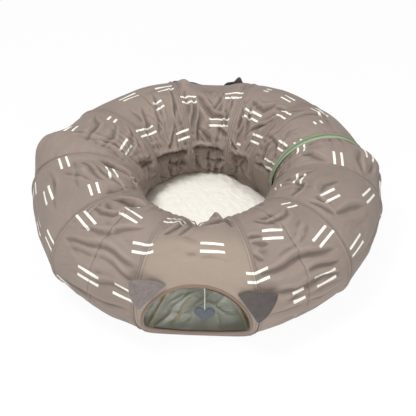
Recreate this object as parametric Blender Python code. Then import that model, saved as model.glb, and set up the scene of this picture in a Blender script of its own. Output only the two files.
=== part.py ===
"""A ring-shaped fabric tunnel for cats, round a plush mat.

Eleven fabric bays are held open by wire hoops in sewn pockets. The front and the
rear panel have a cat-head entrance with two ears. A zip round one hoop lets the
ring unroll into a straight tunnel, and a heart hangs on an elastic cord behind the
front entrance. Metres, +Z up. The origin is on the floor at the middle of the ring,
and the front entrance faces -Y. Angles round the ring are degrees from the front,
growing towards +X. Angles round the tube are degrees from its outer side, growing
upwards.
"""

import math

import bmesh
import bpy
import numpy as np

# The ring and its tube
RING_OUTER_RADIUS = 0.475
TUBE_HALF_WIDTH = 0.152
TUBE_HALF_HEIGHT = 0.134
FLOOR_FLATTENING = 0.013
TUBE_CENTRE_HEIGHT = TUBE_HALF_HEIGHT - FLOOR_FLATTENING
TUBE_TOP = TUBE_CENTRE_HEIGHT + TUBE_HALF_HEIGHT
RING_RADIUS = RING_OUTER_RADIUS - TUBE_HALF_WIDTH
RING_INNER_RADIUS = RING_RADIUS - TUBE_HALF_WIDTH
ZIP_HOOP_SHRINKAGE = 0.0083
ZIP_TUBE_RADIUS = math.hypot(TUBE_HALF_WIDTH, TUBE_HALF_HEIGHT) / math.sqrt(2) - ZIP_HOOP_SHRINKAGE
ZIP_FLOOR_CLEARANCE = 0.0005
SECTION_POINTS = 24

# Where two pieces meet
GAP = 0.0003

# The stations round the ring, where the bays meet
STATIONS = (18, 51, 83, 104, 134, 162, 198, 237, 273, 309, 342)
ZIP_STATION = 104
FRONT_STATION = 342
PANEL_SPAN = 36
PANEL_HALF_WIDTH = RING_OUTER_RADIUS * math.sin(math.radians(PANEL_SPAN / 2))

# Fabric bays
WALL = 0.0024

# A bay's rings: the share of its length, of the full dip and of the full bulge there
BAY_RING_SHARES = ((0, 0, 0), (0.2, 0, 1), (0.5, 1, 0), (0.8, 0, 1), (1, 0, 0))
ZIP_BAY_RING_SHARES = ((0, 0, 0), (0.12, 0, 0), (0.24, 0, 0), (0.5, 1, 0), (0.86, 0, 0), (1, 0, 0))
OUTER_PUFF = 0.008
INNER_DIP = 0.007
INNER_BULGE = 0.003

# Hoops and the pockets that hold them
WIRE_RADIUS = 0.0015
WIRE_SIDES = 6
POCKET_HALF_WIDTH = 0.007
POCKET_CLOTH = 0.0008
END_HOOP_SETBACK = 0.010
END_HOOP_EASE = 0.0003

# Entrances
ENTRANCE_MARGIN = 0.0168
ENTRANCE_HALF_WIDTH = PANEL_HALF_WIDTH - ENTRANCE_MARGIN
ENTRANCE_WIDEST_HEIGHT = 0.086
ENTRANCE_TOP_MARGIN = 0.058
ENTRANCE_SILL = 0.022
ENTRANCE_RISE = TUBE_TOP - ENTRANCE_TOP_MARGIN - ENTRANCE_WIDEST_HEIGHT
ENTRANCE_DROP = ENTRANCE_WIDEST_HEIGHT - ENTRANCE_SILL
ENTRANCE_POINTS = 32
UPPER_ROUNDNESS = 2.2
LOWER_ROUNDNESS = 3.4
RIM_RADIUS = 0.004
CUTTER_OVERRUN = 0.08

# Ears
EAR_BASE = 0.092
EAR_HEIGHT = 0.086
EAR_THICKNESS = 0.0032
EAR_LEVELS = 7
FRONT_EAR_LEAN = 32
REAR_EAR_LEAN = 4
FRONT_LEFT_EAR_TURN = 137
FRONT_RIGHT_EAR_TURN = 31
REAR_LEFT_EAR_TURN = 120
REAR_RIGHT_EAR_TURN = 60

# Zip
TAPE_WIDTH = 0.0080
TAPE_THICKNESS = 0.0008
COIL_WIDTH = 0.0022
COIL_THICKNESS = 0.0014
ZIP_FIRST_TURN = -60
ZIP_LAST_TURN = 210
SLIDER_TURN = 195
STOP_TURN = 202.5
RETAINER_TURN = -52.5
STOP_LENGTH = 0.005
STOP_THICKNESS = 0.0012
RETAINER_LENGTH = 0.008
RETAINER_THICKNESS = 0.0016
SLIDER_LENGTH = 0.012
SLIDER_WIDTH = 0.008
SLIDER_PLATE = 0.0012
BRIDGE_LENGTH = 0.0090
BRIDGE_WIDTH = 0.0024
BRIDGE_BAR = 0.0010
BRIDGE_WINDOW = 0.0022
PULL_LENGTH = 0.024
PULL_WIDTH = 0.007
PULL_THICKNESS = 0.0012
PULL_EYE_LENGTH = 0.0055
PULL_BAR = 0.0012

# Hanging toy
TOY_SIDEWAYS = 0.016
TAB_LENGTH = 0.014
TAB_WIDTH = 0.010
TAB_THICKNESS = 0.0014
KNOT_RADIUS = 0.003
CORD_RADIUS = 0.001
CORD_STEP = 0.005
HEART_WIDTH = 0.052
HEART_HEIGHT = 0.050
HEART_THICKNESS = 0.010
HEART_CENTRE_HEIGHT = 0.060
HEART_POINTS = 28

# Mat
MAT_TUCK = 0.037
MAT_RADIUS = RING_INNER_RADIUS + MAT_TUCK
MAT_CROWN = 0.042
MAT_SEGMENTS = 40
MAT_SCALLOP = 0.002
MAT_SCALLOPS = 10
MAT_BASE_INSET = 0.008
MAT_BASE_RADIUS = MAT_RADIUS - MAT_BASE_INSET
MAT_BASE_THICKNESS = 0.0012

# Hook-and-loop ties between the mat and the tunnel
TIE_SIDEWAYS = 0.030
TIE_WIDTH = 0.030
TIE_TONGUE_MARGIN = 0.007
TIE_PATCH_LENGTH = 0.020
TIE_PATCH_THICKNESS = 0.0014
TIE_STRAP_THICKNESS = 0.0016

# The order of the bays round the ring, by name and first station
BAYS = (
    ("front_panel", 342),
    ("right_bay_1", 18),
    ("right_bay_2", 51),
    ("right_bay_3", 83),
    ("rear_bay_2", 104),
    ("rear_bay_1", 134),
    ("rear_panel", 162),
    ("left_bay_4", 198),
    ("left_bay_3", 237),
    ("left_bay_2", 273),
    ("left_bay_1", 309),
)

TURNS = np.arange(SECTION_POINTS) * 360 / SECTION_POINTS


def clear_scene():
    for thing in list(bpy.data.objects):
        bpy.data.objects.remove(thing, do_unlink=True)


def finish(name, colour, roughness, metallic=0.0):
    """A plain surface finish."""
    material = bpy.data.materials.new(name)
    material.use_nodes = True
    shader = material.node_tree.nodes["Principled BSDF"]
    shader.inputs["Base Color"].default_value = (*colour, 1)
    shader.inputs["Roughness"].default_value = roughness
    shader.inputs["Metallic"].default_value = metallic
    material.diffuse_color = (*colour, 1)
    return material


def empty_at(name, place, parent=None):
    """An empty on a joint's axis, which carries what moves there."""
    holder = bpy.data.objects.new(name, None)
    bpy.context.collection.objects.link(holder)
    holder.location = place
    bpy.context.view_layer.update()
    if parent:
        hang_on(holder, parent)
    return holder


def hang_on(thing, parent):
    """Parents a thing without moving it."""
    bpy.context.view_layer.update()
    thing.parent = parent
    thing.matrix_parent_inverse = parent.matrix_world.inverted()
    bpy.context.view_layer.update()


def volume_of(points, faces):
    """The signed volume inside closed faces, positive where they point out."""
    total = 0.0
    for face in faces:
        a = points[face[0]]
        for b, c in zip(face[1:-1], face[2:], strict=True):
            total += np.dot(a, np.cross(points[b], points[c]))
    return total / 6


def solid(name, points, faces, material, parent):
    """A closed mesh object from points in world space, with its faces out."""
    points = np.asarray(points, float)
    faces = [tuple(int(i) for i in face) for face in faces]
    if volume_of(points, faces) < 0:
        faces = [face[::-1] for face in faces]
    mesh = bpy.data.meshes.new(name)
    mesh.from_pydata([tuple(p) for p in points], [], faces)
    mesh.update()
    mesh.materials.append(material)
    thing = bpy.data.objects.new(name, mesh)
    bpy.context.collection.objects.link(thing)
    if parent:
        hang_on(thing, parent)
    return thing


def shade(thing):
    """Smooth faces with sharp edges past 40 degrees."""
    thing.data.shade_smooth()
    thing.data.set_sharp_from_angle(angle=math.radians(40))


def swept(name, loops, material, parent, round_again=True):
    """A solid whose cross-section loops[:, k] is carried round the tube by k.

    loops has one row for each point of the closed cross-section. Without
    round_again the two ends are capped.
    """
    rows, columns = loops.shape[:2]
    faces = []
    for r in range(rows):
        after = (r + 1) % rows
        for k in range(columns if round_again else columns - 1):
            ahead = (k + 1) % columns
            faces.append(
                (r * columns + k, after * columns + k, after * columns + ahead, r * columns + ahead)
            )
    if not round_again:
        faces.append([r * columns for r in reversed(range(rows))])
        faces.append([r * columns + columns - 1 for r in range(rows)])
    return solid(name, loops.reshape(-1, 3), faces, material, parent)


def prism(name, outline, origin, right, up, depth, material, parent):
    """An outline of (right, up) points, thickened by depth to both sides of its plane."""
    right, up = np.array(right, float), np.array(up, float)
    across = np.cross(right, up)
    flat = np.array([np.array(origin) + a * right + b * up for a, b in outline])
    points = np.concatenate([flat - across * depth / 2, flat + across * depth / 2])
    n = len(outline)
    faces = [tuple(range(n)), tuple(range(2 * n - 1, n - 1, -1))]
    faces += [(i, i + n, (i + 1) % n + n, (i + 1) % n) for i in range(n)]
    return solid(name, points, faces, material, parent)


def rectangle(left, right, low, high):
    return [(left, low), (right, low), (right, high), (left, high)]


def boolean(thing, other, operation):
    """Cuts or joins other into thing, and keeps other only as a guide."""
    modifier = thing.modifiers.new(operation.lower(), "BOOLEAN")
    modifier.operation = operation
    modifier.solver = "EXACT"
    modifier.object = other
    other.hide_render = True
    other.display_type = "WIRE"


def heading(angle):
    """The level direction from the ring's middle to an angle round the ring."""
    a = math.radians(angle)
    return np.array([math.sin(a), -math.cos(a), 0.0])


def next_station(angle, step=1):
    place = STATIONS.index(angle % 360)
    return STATIONS[(place + step) % len(STATIONS)]


def section(station, inset):
    """The tube's section at a station as outward distances and heights.

    It is an ellipse that the floor flattens, or a circle at the zip, drawn in by an
    inset that may differ from point to point.
    """
    turns = np.radians(TURNS)
    if station == ZIP_STATION:
        half_width = half_height = ZIP_TUBE_RADIUS
        centre = ZIP_TUBE_RADIUS + ZIP_FLOOR_CLEARANCE
    else:
        half_width, half_height = TUBE_HALF_WIDTH, TUBE_HALF_HEIGHT
        centre = TUBE_CENTRE_HEIGHT
    inset = np.broadcast_to(inset, TURNS.shape)
    outward = (half_width - inset) * np.cos(turns)
    height = centre + (half_height - inset) * np.sin(turns)
    return outward, height


def station_ring(station, inset, floor):
    """The section at a station as points in space, no lower than floor."""
    outward, height = section(station, inset)
    points = (RING_RADIUS + outward)[:, None] * heading(station)
    points[:, 2] = np.maximum(height, floor)
    return points


def bay_length(first, last):
    """The length of a bay's inner side."""
    half = math.radians((last - first) % 360 / 2)
    return 2 * (RING_RADIUS - TUBE_HALF_WIDTH) * math.sin(half) * math.cos(half)


def bay_ring(first, share, inset, slack):
    """A ring of points at a share of the way along a bay, in straight lines."""
    last = next_station(first)
    start = station_ring(first, inset + slack, inset)
    end = station_ring(last, inset + slack, inset)
    return start + (end - start) * share


def slack_at(dip, bulge):
    """How far the cloth hangs into the tube round one of a bay's rings.

    With a full dip it puffs out on its outer side and folds in on its inner side. With
    a full bulge it stands out on its inner side.
    """
    inner_side = np.clip(-np.cos(np.radians(TURNS)), 0, 1)
    hang = INNER_DIP * inner_side - OUTER_PUFF * (1 - inner_side)
    return dip * hang - bulge * INNER_BULGE * inner_side


def bay_rings(first, plain):
    """A bay's rings as (share of its length, slack) pairs.

    A plain bay is straight. Next to the zip more rings keep the cloth level over
    hoops that differ in shape.
    """
    by_zip = ZIP_STATION in (first, next_station(first))
    rows = ZIP_BAY_RING_SHARES if by_zip else BAY_RING_SHARES
    if plain and not by_zip:
        rows = (rows[0], rows[-1])
    return [(share, slack_at(0 if plain else dip, bulge * (not plain))) for share, dip, bulge in rows]


def bay(name, first, material, parent, plain):
    """A fabric bay between two stations: a sleeve with a wall all round."""
    retreat = GAP / 2 / bay_length(first, next_station(first))
    rows = bay_rings(first, plain)
    rings = []
    for inset, order in ((0, rows), (WALL, rows[::-1])):
        for share, slack in order:
            rings.append(bay_ring(first, retreat + share * (1 - 2 * retreat), inset, slack))
    thing = swept(name, np.array(rings), material, parent)
    shade(thing)
    return thing


def strip_loops(station, profile, turns=slice(None)):
    """Loops round the tube for a cross-section of (along, inset) points.

    Along is measured from the station, towards the next one where it is positive,
    in line with the cloth on that side. Where the cloth overhead climbs to the zip's
    taller hoop the strip stays level, so the cloth can slide off it.
    """
    loops = []
    for along, inset in profile:
        here = station_ring(station, inset, inset)
        neighbour = next_station(station, 1 if along >= 0 else -1)
        there = station_ring(neighbour, inset, inset)
        way = there - here
        climbing = (way[:, 2] > 0) & (TURNS < 180)
        way[climbing, 2] = 0
        way = way / np.linalg.norm(way, axis=1)[:, None]
        loops.append((here + way * abs(along))[turns])
    return np.array(loops)


def hoop(name, station, setback, material, parent):
    """A round wire just inside the cloth."""
    centre = pocket_foot(setback) + WIRE_RADIUS
    profile = []
    for side in range(WIRE_SIDES):
        a = 2 * math.pi * side / WIRE_SIDES
        profile.append((setback + WIRE_RADIUS * math.sin(a), centre + WIRE_RADIUS * math.cos(a)))
    thing = swept(name, strip_loops(station, profile), material, parent)
    shade(thing)
    return thing


def pocket_foot(setback):
    """How deep inside the cloth's outer face a hoop and its pocket start."""
    return WALL + GAP + (END_HOOP_EASE if setback else 0)


def pocket(name, station, setback, material, parent):
    """The sewn cloth pocket over a hoop: a low ridge with its feet on the wall."""
    foot = pocket_foot(setback)
    centre = foot + WIRE_RADIUS
    slope = math.atan2(centre + 2 * WIRE_RADIUS - foot, POCKET_HALF_WIDTH)
    ridge = centre + (WIRE_RADIUS + GAP) / math.cos(slope)
    profile = [
        (setback - POCKET_HALF_WIDTH, foot),
        (setback - POCKET_HALF_WIDTH, foot + POCKET_CLOTH),
        (setback, ridge + POCKET_CLOTH),
        (setback + POCKET_HALF_WIDTH, foot + POCKET_CLOTH),
        (setback + POCKET_HALF_WIDTH, foot),
        (setback, ridge),
    ]
    thing = swept(name, strip_loops(station, profile), material, parent)
    shade(thing)
    return thing


def entrance_outline(spread):
    """The entrance's outline as (sideways, height) points, grown by spread.

    It is round above its widest height and squarer below it.
    """
    points = []
    for step in range(ENTRANCE_POINTS):
        points.append(entrance_point(360 * step / ENTRANCE_POINTS, spread))
    return points


def entrance_point(turn, spread):
    a = math.radians(turn)
    upper = math.sin(a) >= 0
    power = 2 / (UPPER_ROUNDNESS if upper else LOWER_ROUNDNESS)
    rise = ENTRANCE_RISE if upper else ENTRANCE_DROP
    sideways = math.copysign(abs(math.cos(a)) ** power, math.cos(a))
    height = math.copysign(abs(math.sin(a)) ** power, math.sin(a))
    return (
        sideways * (ENTRANCE_HALF_WIDTH + spread),
        ENTRANCE_WIDEST_HEIGHT + height * (rise + spread),
    )


def panel_depth(height, inset, inner=False):
    """How far a panel's wall is from the ring's middle, at a height."""
    outward, heights = section(FRONT_STATION, inset)
    heights = np.maximum(heights, inset)
    quarter = SECTION_POINTS // 4
    if inner:
        side = np.arange(2 * quarter, 3 * quarter + 1)[::-1]
    else:
        side = np.arange(-quarter + 1, quarter + 1)
    reach = np.interp(height, heights[side], outward[side])
    return (RING_RADIUS + reach) * math.cos(math.radians(PANEL_SPAN / 2))


def entrance(panel, rim_name, facing, material, parent):
    """Cuts the entrance into a panel and lays its rim round the edge.

    facing is -1 at the front and 1 at the rear.
    """
    spread = RIM_RADIUS + GAP
    far = RING_OUTER_RADIUS
    cutter = prism(
        f"{rim_name}_cutter",
        entrance_outline(spread),
        (0, facing * far, 0),
        (1, 0, 0),
        (0, 0, 1),
        2 * CUTTER_OVERRUN,
        material,
        None,
    )
    boolean(panel, cutter, "DIFFERENCE")

    curve = bpy.data.curves.new(rim_name, "CURVE")
    curve.dimensions = "3D"
    curve.bevel_depth = RIM_RADIUS
    curve.bevel_resolution = 1
    spline = curve.splines.new("POLY")
    outline = entrance_outline(0)
    spline.points.add(len(outline) - 1)
    for point, (sideways, height) in zip(spline.points, outline, strict=True):
        depth = panel_depth(height, WALL / 2)
        point.co = (sideways, facing * depth, height, 1)
    spline.use_cyclic_u = True
    curve.materials.append(material)
    rim = bpy.data.objects.new(rim_name, curve)
    bpy.context.collection.objects.link(rim)
    hang_on(rim, parent)
    return rim


def ear_outline():
    """An ear from its base seam to its round tip, as (along the seam, up) points."""
    left, right = [], []
    for level in range(EAR_LEVELS):
        share = math.sin(math.pi / 2 * level / (EAR_LEVELS - 1))
        half = EAR_BASE / 2 * (1 - share**1.5) ** 0.75
        if level == EAR_LEVELS - 1:
            left.append((0, EAR_HEIGHT))
        else:
            left.append((-half, EAR_HEIGHT * share))
            right.append((half, EAR_HEIGHT * share))
    return right + left[::-1]


def ear_seat(turn, facing):
    """The middle of an ear's seam, with the seam's, the ear's and the wall's directions."""
    margin = RIM_RADIUS + EAR_THICKNESS
    places = []
    for nearby in (turn - 1, turn, turn + 1):
        sideways, height = entrance_point(nearby, margin)
        depth = panel_depth(height, 0)
        places.append(np.array([sideways, facing * depth, height]))
    height = places[1][2]
    outward, heights = section(FRONT_STATION, 0)
    facet = int(np.searchsorted(heights[: SECTION_POINTS // 4 + 1], height)) - 1
    lean = math.cos(math.radians(PANEL_SPAN / 2))
    rise = heights[facet + 1] - heights[facet]
    back = (outward[facet] - outward[facet + 1]) * lean
    normal = np.array([0, facing * rise, back])
    normal /= np.linalg.norm(normal)
    seam = places[2] - places[0]
    seam -= normal * np.dot(seam, normal)
    seam /= np.linalg.norm(seam)
    away = np.cross(seam, normal)
    if np.dot(away, places[1] - np.array([0, places[1][1], ENTRANCE_WIDEST_HEIGHT])) < 0:
        away = -away
    middle = places[1] + normal * (EAR_THICKNESS / 2 + GAP)
    return middle, seam, away, normal


def ear(name, turn, facing, material, parent):
    """A flat felt ear that leans away from the wall, turning on its seam."""
    middle, seam, away, normal = ear_seat(turn, facing)
    lean = math.radians(FRONT_EAR_LEAN if facing < 0 else REAR_EAR_LEAN)
    up = away * math.cos(lean) + normal * math.sin(lean)
    holder = empty_at(f"{name}_seam", middle, parent)
    return prism(name, ear_outline(), middle, seam, up, EAR_THICKNESS, material, holder)


def zip_frame(turn):
    """The zip circle's middle and the directions out, round and along at a turn."""
    out = heading(ZIP_STATION)
    a = math.radians(turn)
    height = ZIP_TUBE_RADIUS + ZIP_FLOOR_CLEARANCE
    middle = out * RING_RADIUS + np.array([0, 0, height])
    radial = out * math.cos(a) + np.array([0, 0, math.sin(a)])
    onward = -out * math.sin(a) + np.array([0, 0, math.cos(a)])
    along = np.cross(radial, onward) * -1
    return middle, radial, onward, along


def zip_turns():
    step = 360 // SECTION_POINTS
    return [(turn // step) % SECTION_POINTS for turn in range(ZIP_FIRST_TURN, ZIP_LAST_TURN + 1, step)]


def zip_side(suffix, side, tape_material, coil_material, parent):
    """One half of the zip: its tape on the cloth, and its row of teeth on the tape."""
    tape_foot = GAP
    tape_top = tape_foot + TAPE_THICKNESS
    coil_foot = tape_top + GAP
    coil_top = coil_foot + COIL_THICKNESS
    edge = GAP
    tape = [
        (side * edge, -tape_foot),
        (side * (edge + TAPE_WIDTH), -tape_foot),
        (side * (edge + TAPE_WIDTH), -tape_top),
        (side * edge, -tape_top),
    ]
    coil = [
        (side * edge, -coil_foot),
        (side * (edge + COIL_WIDTH), -coil_foot),
        (side * (edge + COIL_WIDTH), -coil_top),
        (side * edge, -coil_top),
    ]
    turns = zip_turns()
    loops = strip_loops(ZIP_STATION, tape, turns)
    swept(f"zip_tape_{suffix}", loops, tape_material, parent, round_again=False)
    loops = strip_loops(ZIP_STATION, coil, turns)
    swept(f"zip_teeth_{suffix}", loops, coil_material, parent, round_again=False)


def teeth_top():
    return GAP + TAPE_THICKNESS + GAP + COIL_THICKNESS


def teeth_reach():
    """The greatest distance of the teeth from the zip circle's axis."""
    middle, _, _, along = zip_frame(0)
    profile = [(side * (GAP + COIL_WIDTH), -teeth_top()) for side in (-1, 1)]
    points = strip_loops(ZIP_STATION, profile, zip_turns()) - middle
    level = points - (points @ along)[..., None] * along
    return np.linalg.norm(level, axis=-1).max()


def zip_block(name, turn, length, thickness, side, material, parent):
    """A small block flat on one row of teeth, at the middle of one of its facets."""
    middle, radial, onward, along = zip_frame(turn)
    step = 360 // SECTION_POINTS
    before = int(turn // step) % SECTION_POINTS
    edge = [(side * (GAP + COIL_WIDTH), -teeth_top())]
    corners = strip_loops(ZIP_STATION, edge, [before, (before + 1) % SECTION_POINTS])[0]
    level = (corners.mean(axis=0) - middle) @ radial
    base = middle + radial * (level + GAP) + along * side * (GAP + COIL_WIDTH / 2)
    outline = rectangle(-length / 2, length / 2, 0, thickness)
    return prism(name, outline, base, onward, radial, COIL_WIDTH, material, parent)


def slider(material, pull_material, parent):
    """The slider plate with its bridge, riding on the teeth, and the pull in its bridge."""
    middle, radial, onward, along = zip_frame(SLIDER_TURN)
    travel = empty_at("zip_slider_travel", middle, parent)
    low = teeth_reach() + GAP
    plate = rectangle(-SLIDER_LENGTH / 2, SLIDER_LENGTH / 2, low, low + SLIDER_PLATE)
    body = prism("zip_slider", plate, middle, onward, radial, SLIDER_WIDTH, material, travel)

    foot = low + SLIDER_PLATE / 2
    window_top = low + SLIDER_PLATE + BRIDGE_WINDOW
    half = BRIDGE_LENGTH / 2
    leg = half - BRIDGE_BAR
    bridge = [
        (-half, foot),
        (-leg, foot),
        (-leg, window_top),
        (leg, window_top),
        (leg, foot),
        (half, foot),
        (half, window_top + BRIDGE_BAR),
        (-half, window_top + BRIDGE_BAR),
    ]
    arch = prism("zip_bridge", bridge, middle, onward, radial, BRIDGE_WIDTH, material, travel)
    boolean(body, arch, "UNION")

    pivot = middle + onward * (leg - PULL_BAR / 2 - 2 * GAP)
    pivot = pivot + radial * (window_top - BRIDGE_WINDOW / 2)
    swing = empty_at("zip_pull_swing", pivot, travel)
    long_way = rectangle(-PULL_WIDTH / 2, PULL_WIDTH / 2, -PULL_BAR / 2, PULL_LENGTH)
    pull = prism("zip_pull", long_way, pivot, along, onward, PULL_THICKNESS, pull_material, swing)
    eye = PULL_WIDTH / 2 - PULL_BAR
    hole = rectangle(-eye, eye, PULL_BAR / 2, PULL_EYE_LENGTH)
    cutter = prism(
        "zip_pull_cutter", hole, pivot, along, onward, 2 * PULL_THICKNESS, pull_material, swing
    )
    boolean(pull, cutter, "DIFFERENCE")


def heart_curve(turns):
    """The classic heart curve: a cubed sine across and four cosines up."""
    up = 13 * np.cos(turns) - 5 * np.cos(2 * turns) - 2 * np.cos(3 * turns) - np.cos(4 * turns)
    return np.sin(turns) ** 3, up


def heart_outline(turns=None):
    """A heart as (sideways, up) points about its middle."""
    evenly = np.arange(HEART_POINTS) * 2 * math.pi / HEART_POINTS
    every_up = heart_curve(evenly)[1]
    sideways, up = heart_curve(evenly if turns is None else turns)
    up = (up - (every_up.max() + every_up.min()) / 2) / (every_up.max() - every_up.min())
    return np.stack([sideways * HEART_WIDTH / 2, up * HEART_HEIGHT], axis=-1)


def heart_notch():
    """The height over the heart's middle where its notch is as wide as the cord."""
    share = (CORD_RADIUS + GAP) / (HEART_WIDTH / 2)
    return heart_outline(np.array(math.asin(share ** (1 / 3))))[1]


def heart(material, parent, place):
    """The toy: a heart-shaped pad, thickest in its middle."""
    outline = heart_outline()
    levels = ((1.0, 0.42), (0.86, 0.84), (0.5, 1.0))
    points, n = [], len(outline)
    for side in (-1, 1):
        for width_share, thickness_share in levels:
            for sideways, up in outline * width_share:
                points.append((sideways, side * thickness_share * HEART_THICKNESS / 2, up))
    faces = []
    count = len(levels)
    for level in range(count - 1):
        for i in range(n):
            j = (i + 1) % n
            front, back = level * n, (count + level) * n
            faces.append((front + i, front + j, front + n + j, front + n + i))
            faces.append((back + i, back + n + i, back + n + j, back + j))
    for i in range(n):
        j = (i + 1) % n
        faces.append((i, count * n + i, count * n + j, j))
    poles = []
    for side, last in ((-1, (count - 1) * n), (1, (2 * count - 1) * n)):
        poles.append(len(points))
        points.append((0, side * HEART_THICKNESS / 2, 0))
        for i in range(n):
            j = (i + 1) % n
            tri = (last + i, last + j, poles[-1])
            faces.append(tri if side < 0 else tri[::-1])
    points = np.array(points) + place
    thing = solid("toy_heart", points, faces, material, parent)
    shade(thing)
    return thing


def toy(finishes, parent):
    """A heart on an elastic cord, from a tab sewn to the ceiling behind the entrance."""
    outward, height = section(FRONT_STATION, WALL)
    facet = SECTION_POINTS // 8
    lean = math.cos(math.radians(PANEL_SPAN / 2))
    a = np.array([0, -(RING_RADIUS + outward[facet]) * lean, height[facet]])
    b = np.array([0, -(RING_RADIUS + outward[facet + 1]) * lean, height[facet + 1]])
    slope = (b - a) / np.linalg.norm(b - a)
    inward = np.cross(slope, (1, 0, 0))
    if inward[2] > 0:
        inward = -inward
    seat = (a + b) / 2 + np.array([TOY_SIDEWAYS, 0, 0])
    tab_middle = seat + inward * (GAP + TAB_THICKNESS / 2)
    outline = rectangle(-TAB_LENGTH / 2, TAB_LENGTH / 2, -TAB_WIDTH / 2, TAB_WIDTH / 2)
    prism("toy_tab", outline, tab_middle, (1, 0, 0), slope, TAB_THICKNESS, finishes["tape"], parent)

    centre = seat + inward * (GAP + TAB_THICKNESS + GAP + KNOT_RADIUS)
    fore = empty_at("toy_swing_fore", centre, parent)
    side = empty_at("toy_swing_side", centre, fore)
    knot = bpy.data.meshes.new("toy_knot")
    shape = bmesh.new()
    bmesh.ops.create_uvsphere(shape, u_segments=10, v_segments=6, radius=KNOT_RADIUS)
    shape.to_mesh(knot)
    shape.free()
    knot.materials.append(finishes["cord"])
    bead = bpy.data.objects.new("toy_knot", knot)
    bpy.context.collection.objects.link(bead)
    bead.location = centre
    hang_on(bead, fore)
    shade(bead)

    top = centre[2] - KNOT_RADIUS - GAP
    bottom = HEART_CENTRE_HEIGHT + heart_notch() + GAP
    curve = bpy.data.curves.new("toy_cord", "CURVE")
    curve.dimensions = "3D"
    curve.bevel_depth = CORD_RADIUS
    curve.bevel_resolution = 2
    curve.use_fill_caps = True
    spline = curve.splines.new("POLY")
    steps = round((top - bottom) / CORD_STEP)
    spline.points.add(steps)
    for i, point in enumerate(spline.points):
        point.co = (centre[0], centre[1], top + (bottom - top) * i / steps, 1)
    curve.materials.append(finishes["cord"])
    line = bpy.data.objects.new("toy_cord", curve)
    bpy.context.collection.objects.link(line)
    hang_on(line, side)
    heart(finishes["heart"], side, np.array([centre[0], centre[1], HEART_CENTRE_HEIGHT]))


def mat_profile():
    """The cushion's half profile, as (radius share, height share) from its crown down.

    It is highest in its middle, rolls over at its edge and draws in to its base.
    """
    return (
        (0.14, 1.0),
        (0.34, 0.985),
        (0.54, 0.945),
        (0.70, 0.88),
        (0.82, 0.77),
        (0.91, 0.61),
        (0.97, 0.43),
        (1.0, 0.27),
        (0.985, 0.14),
        (0.95, 0.05),
        (0.93, 0.0),
        (0.5, 0.0),
    )


def mat(finishes):
    """The plush cushion in the ring's middle and the cloth base under it."""
    holder = empty_at("mat_lift", (0, 0, 0))
    base_top = MAT_BASE_THICKNESS
    low = base_top + GAP
    rise = MAT_CROWN - low
    turns = np.arange(MAT_SEGMENTS) * 2 * math.pi / MAT_SEGMENTS
    points = []
    for radius_share, height_share in mat_profile():
        edge = max(0, (radius_share - 0.5) * 2)
        ripple = 1 + edge * MAT_SCALLOP / MAT_RADIUS * np.cos(MAT_SCALLOPS * turns)
        radius = (MAT_RADIUS - MAT_SCALLOP) * radius_share * ripple
        height = low + rise * height_share + 0 * turns
        points.append(np.stack([radius * np.sin(turns), -radius * np.cos(turns), height], axis=1))
    rows, n = len(points), MAT_SEGMENTS
    points = np.concatenate(points)
    crown, under = len(points), len(points) + 1
    points = np.vstack([points, (0, 0, MAT_CROWN), (0, 0, low)])
    faces = []
    for r in range(rows - 1):
        for i in range(n):
            j = (i + 1) % n
            faces.append((r * n + i, (r + 1) * n + i, (r + 1) * n + j, r * n + j))
    for i in range(n):
        j = (i + 1) % n
        faces.append((crown, i, j))
        faces.append((under, (rows - 1) * n + j, (rows - 1) * n + i))
    cushion = solid("mat_cushion", points, faces, finishes["plush"], holder)
    shade(cushion)

    tongue = TIE_WIDTH / 2
    outline = []
    for step in range(MAT_SEGMENTS):
        a = 2 * math.pi * step / MAT_SEGMENTS
        outline.append((MAT_BASE_RADIUS * math.sin(a), -MAT_BASE_RADIUS * math.cos(a)))
    base = prism(
        "mat_base",
        outline,
        (0, 0, base_top / 2),
        (1, 0, 0),
        (0, 1, 0),
        base_top,
        finishes["base"],
        holder,
    )
    for facing in (-1, 1):
        reach = rectangle(
            tie_sideways(facing) - tongue,
            tie_sideways(facing) + tongue,
            min(0, facing * tongue_reach()),
            max(0, facing * tongue_reach()),
        )
        wing = prism(
            f"mat_tongue_{'rear' if facing > 0 else 'front'}",
            reach,
            (0, 0, base_top / 2),
            (1, 0, 0),
            (0, 1, 0),
            base_top,
            finishes["base"],
            holder,
        )
        boolean(base, wing, "UNION")
    return holder


def tie_sideways(facing):
    return facing * TIE_SIDEWAYS


def tie_heights():
    """The lowest and highest heights of the hook patches and of the straps over them."""
    patch_low = MAT_BASE_THICKNESS + GAP
    patch_top = patch_low + TIE_PATCH_THICKNESS
    strap_low = patch_top + GAP
    return patch_low, patch_top, strap_low, strap_low + TIE_STRAP_THICKNESS


def strap_seat():
    """Where a strap meets its panel, measured from the ring's middle."""
    return panel_depth(tie_heights()[-1], 0, inner=True) - GAP


def tongue_reach():
    return strap_seat() - TIE_TONGUE_MARGIN


def tie(end, facing, finishes, mat_holder, tunnel_parent):
    """A hook patch on the mat's tongue and the loop strap of the tunnel over it."""
    patch_low, patch_top, strap_low, strap_top = tie_heights()
    tip = tongue_reach() - TIE_PATCH_LENGTH
    half = TIE_WIDTH / 2 - GAP
    middle = tie_sideways(facing)
    for name, near, far, low, top, material, parent in (
        (f"{end}_tie_hooks", tip, tongue_reach(), patch_low, patch_top, "hooks", mat_holder),
        (f"{end}_tie_strap", tip, strap_seat(), strap_low, strap_top, "tape", tunnel_parent),
    ):
        outline = rectangle(
            middle - half, middle + half, min(facing * near, facing * far), max(facing * near, facing * far)
        )
        place = (0, 0, (low + top) / 2)
        prism(name, outline, place, (1, 0, 0), (0, 1, 0), top - low, finishes[material], parent)


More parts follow.
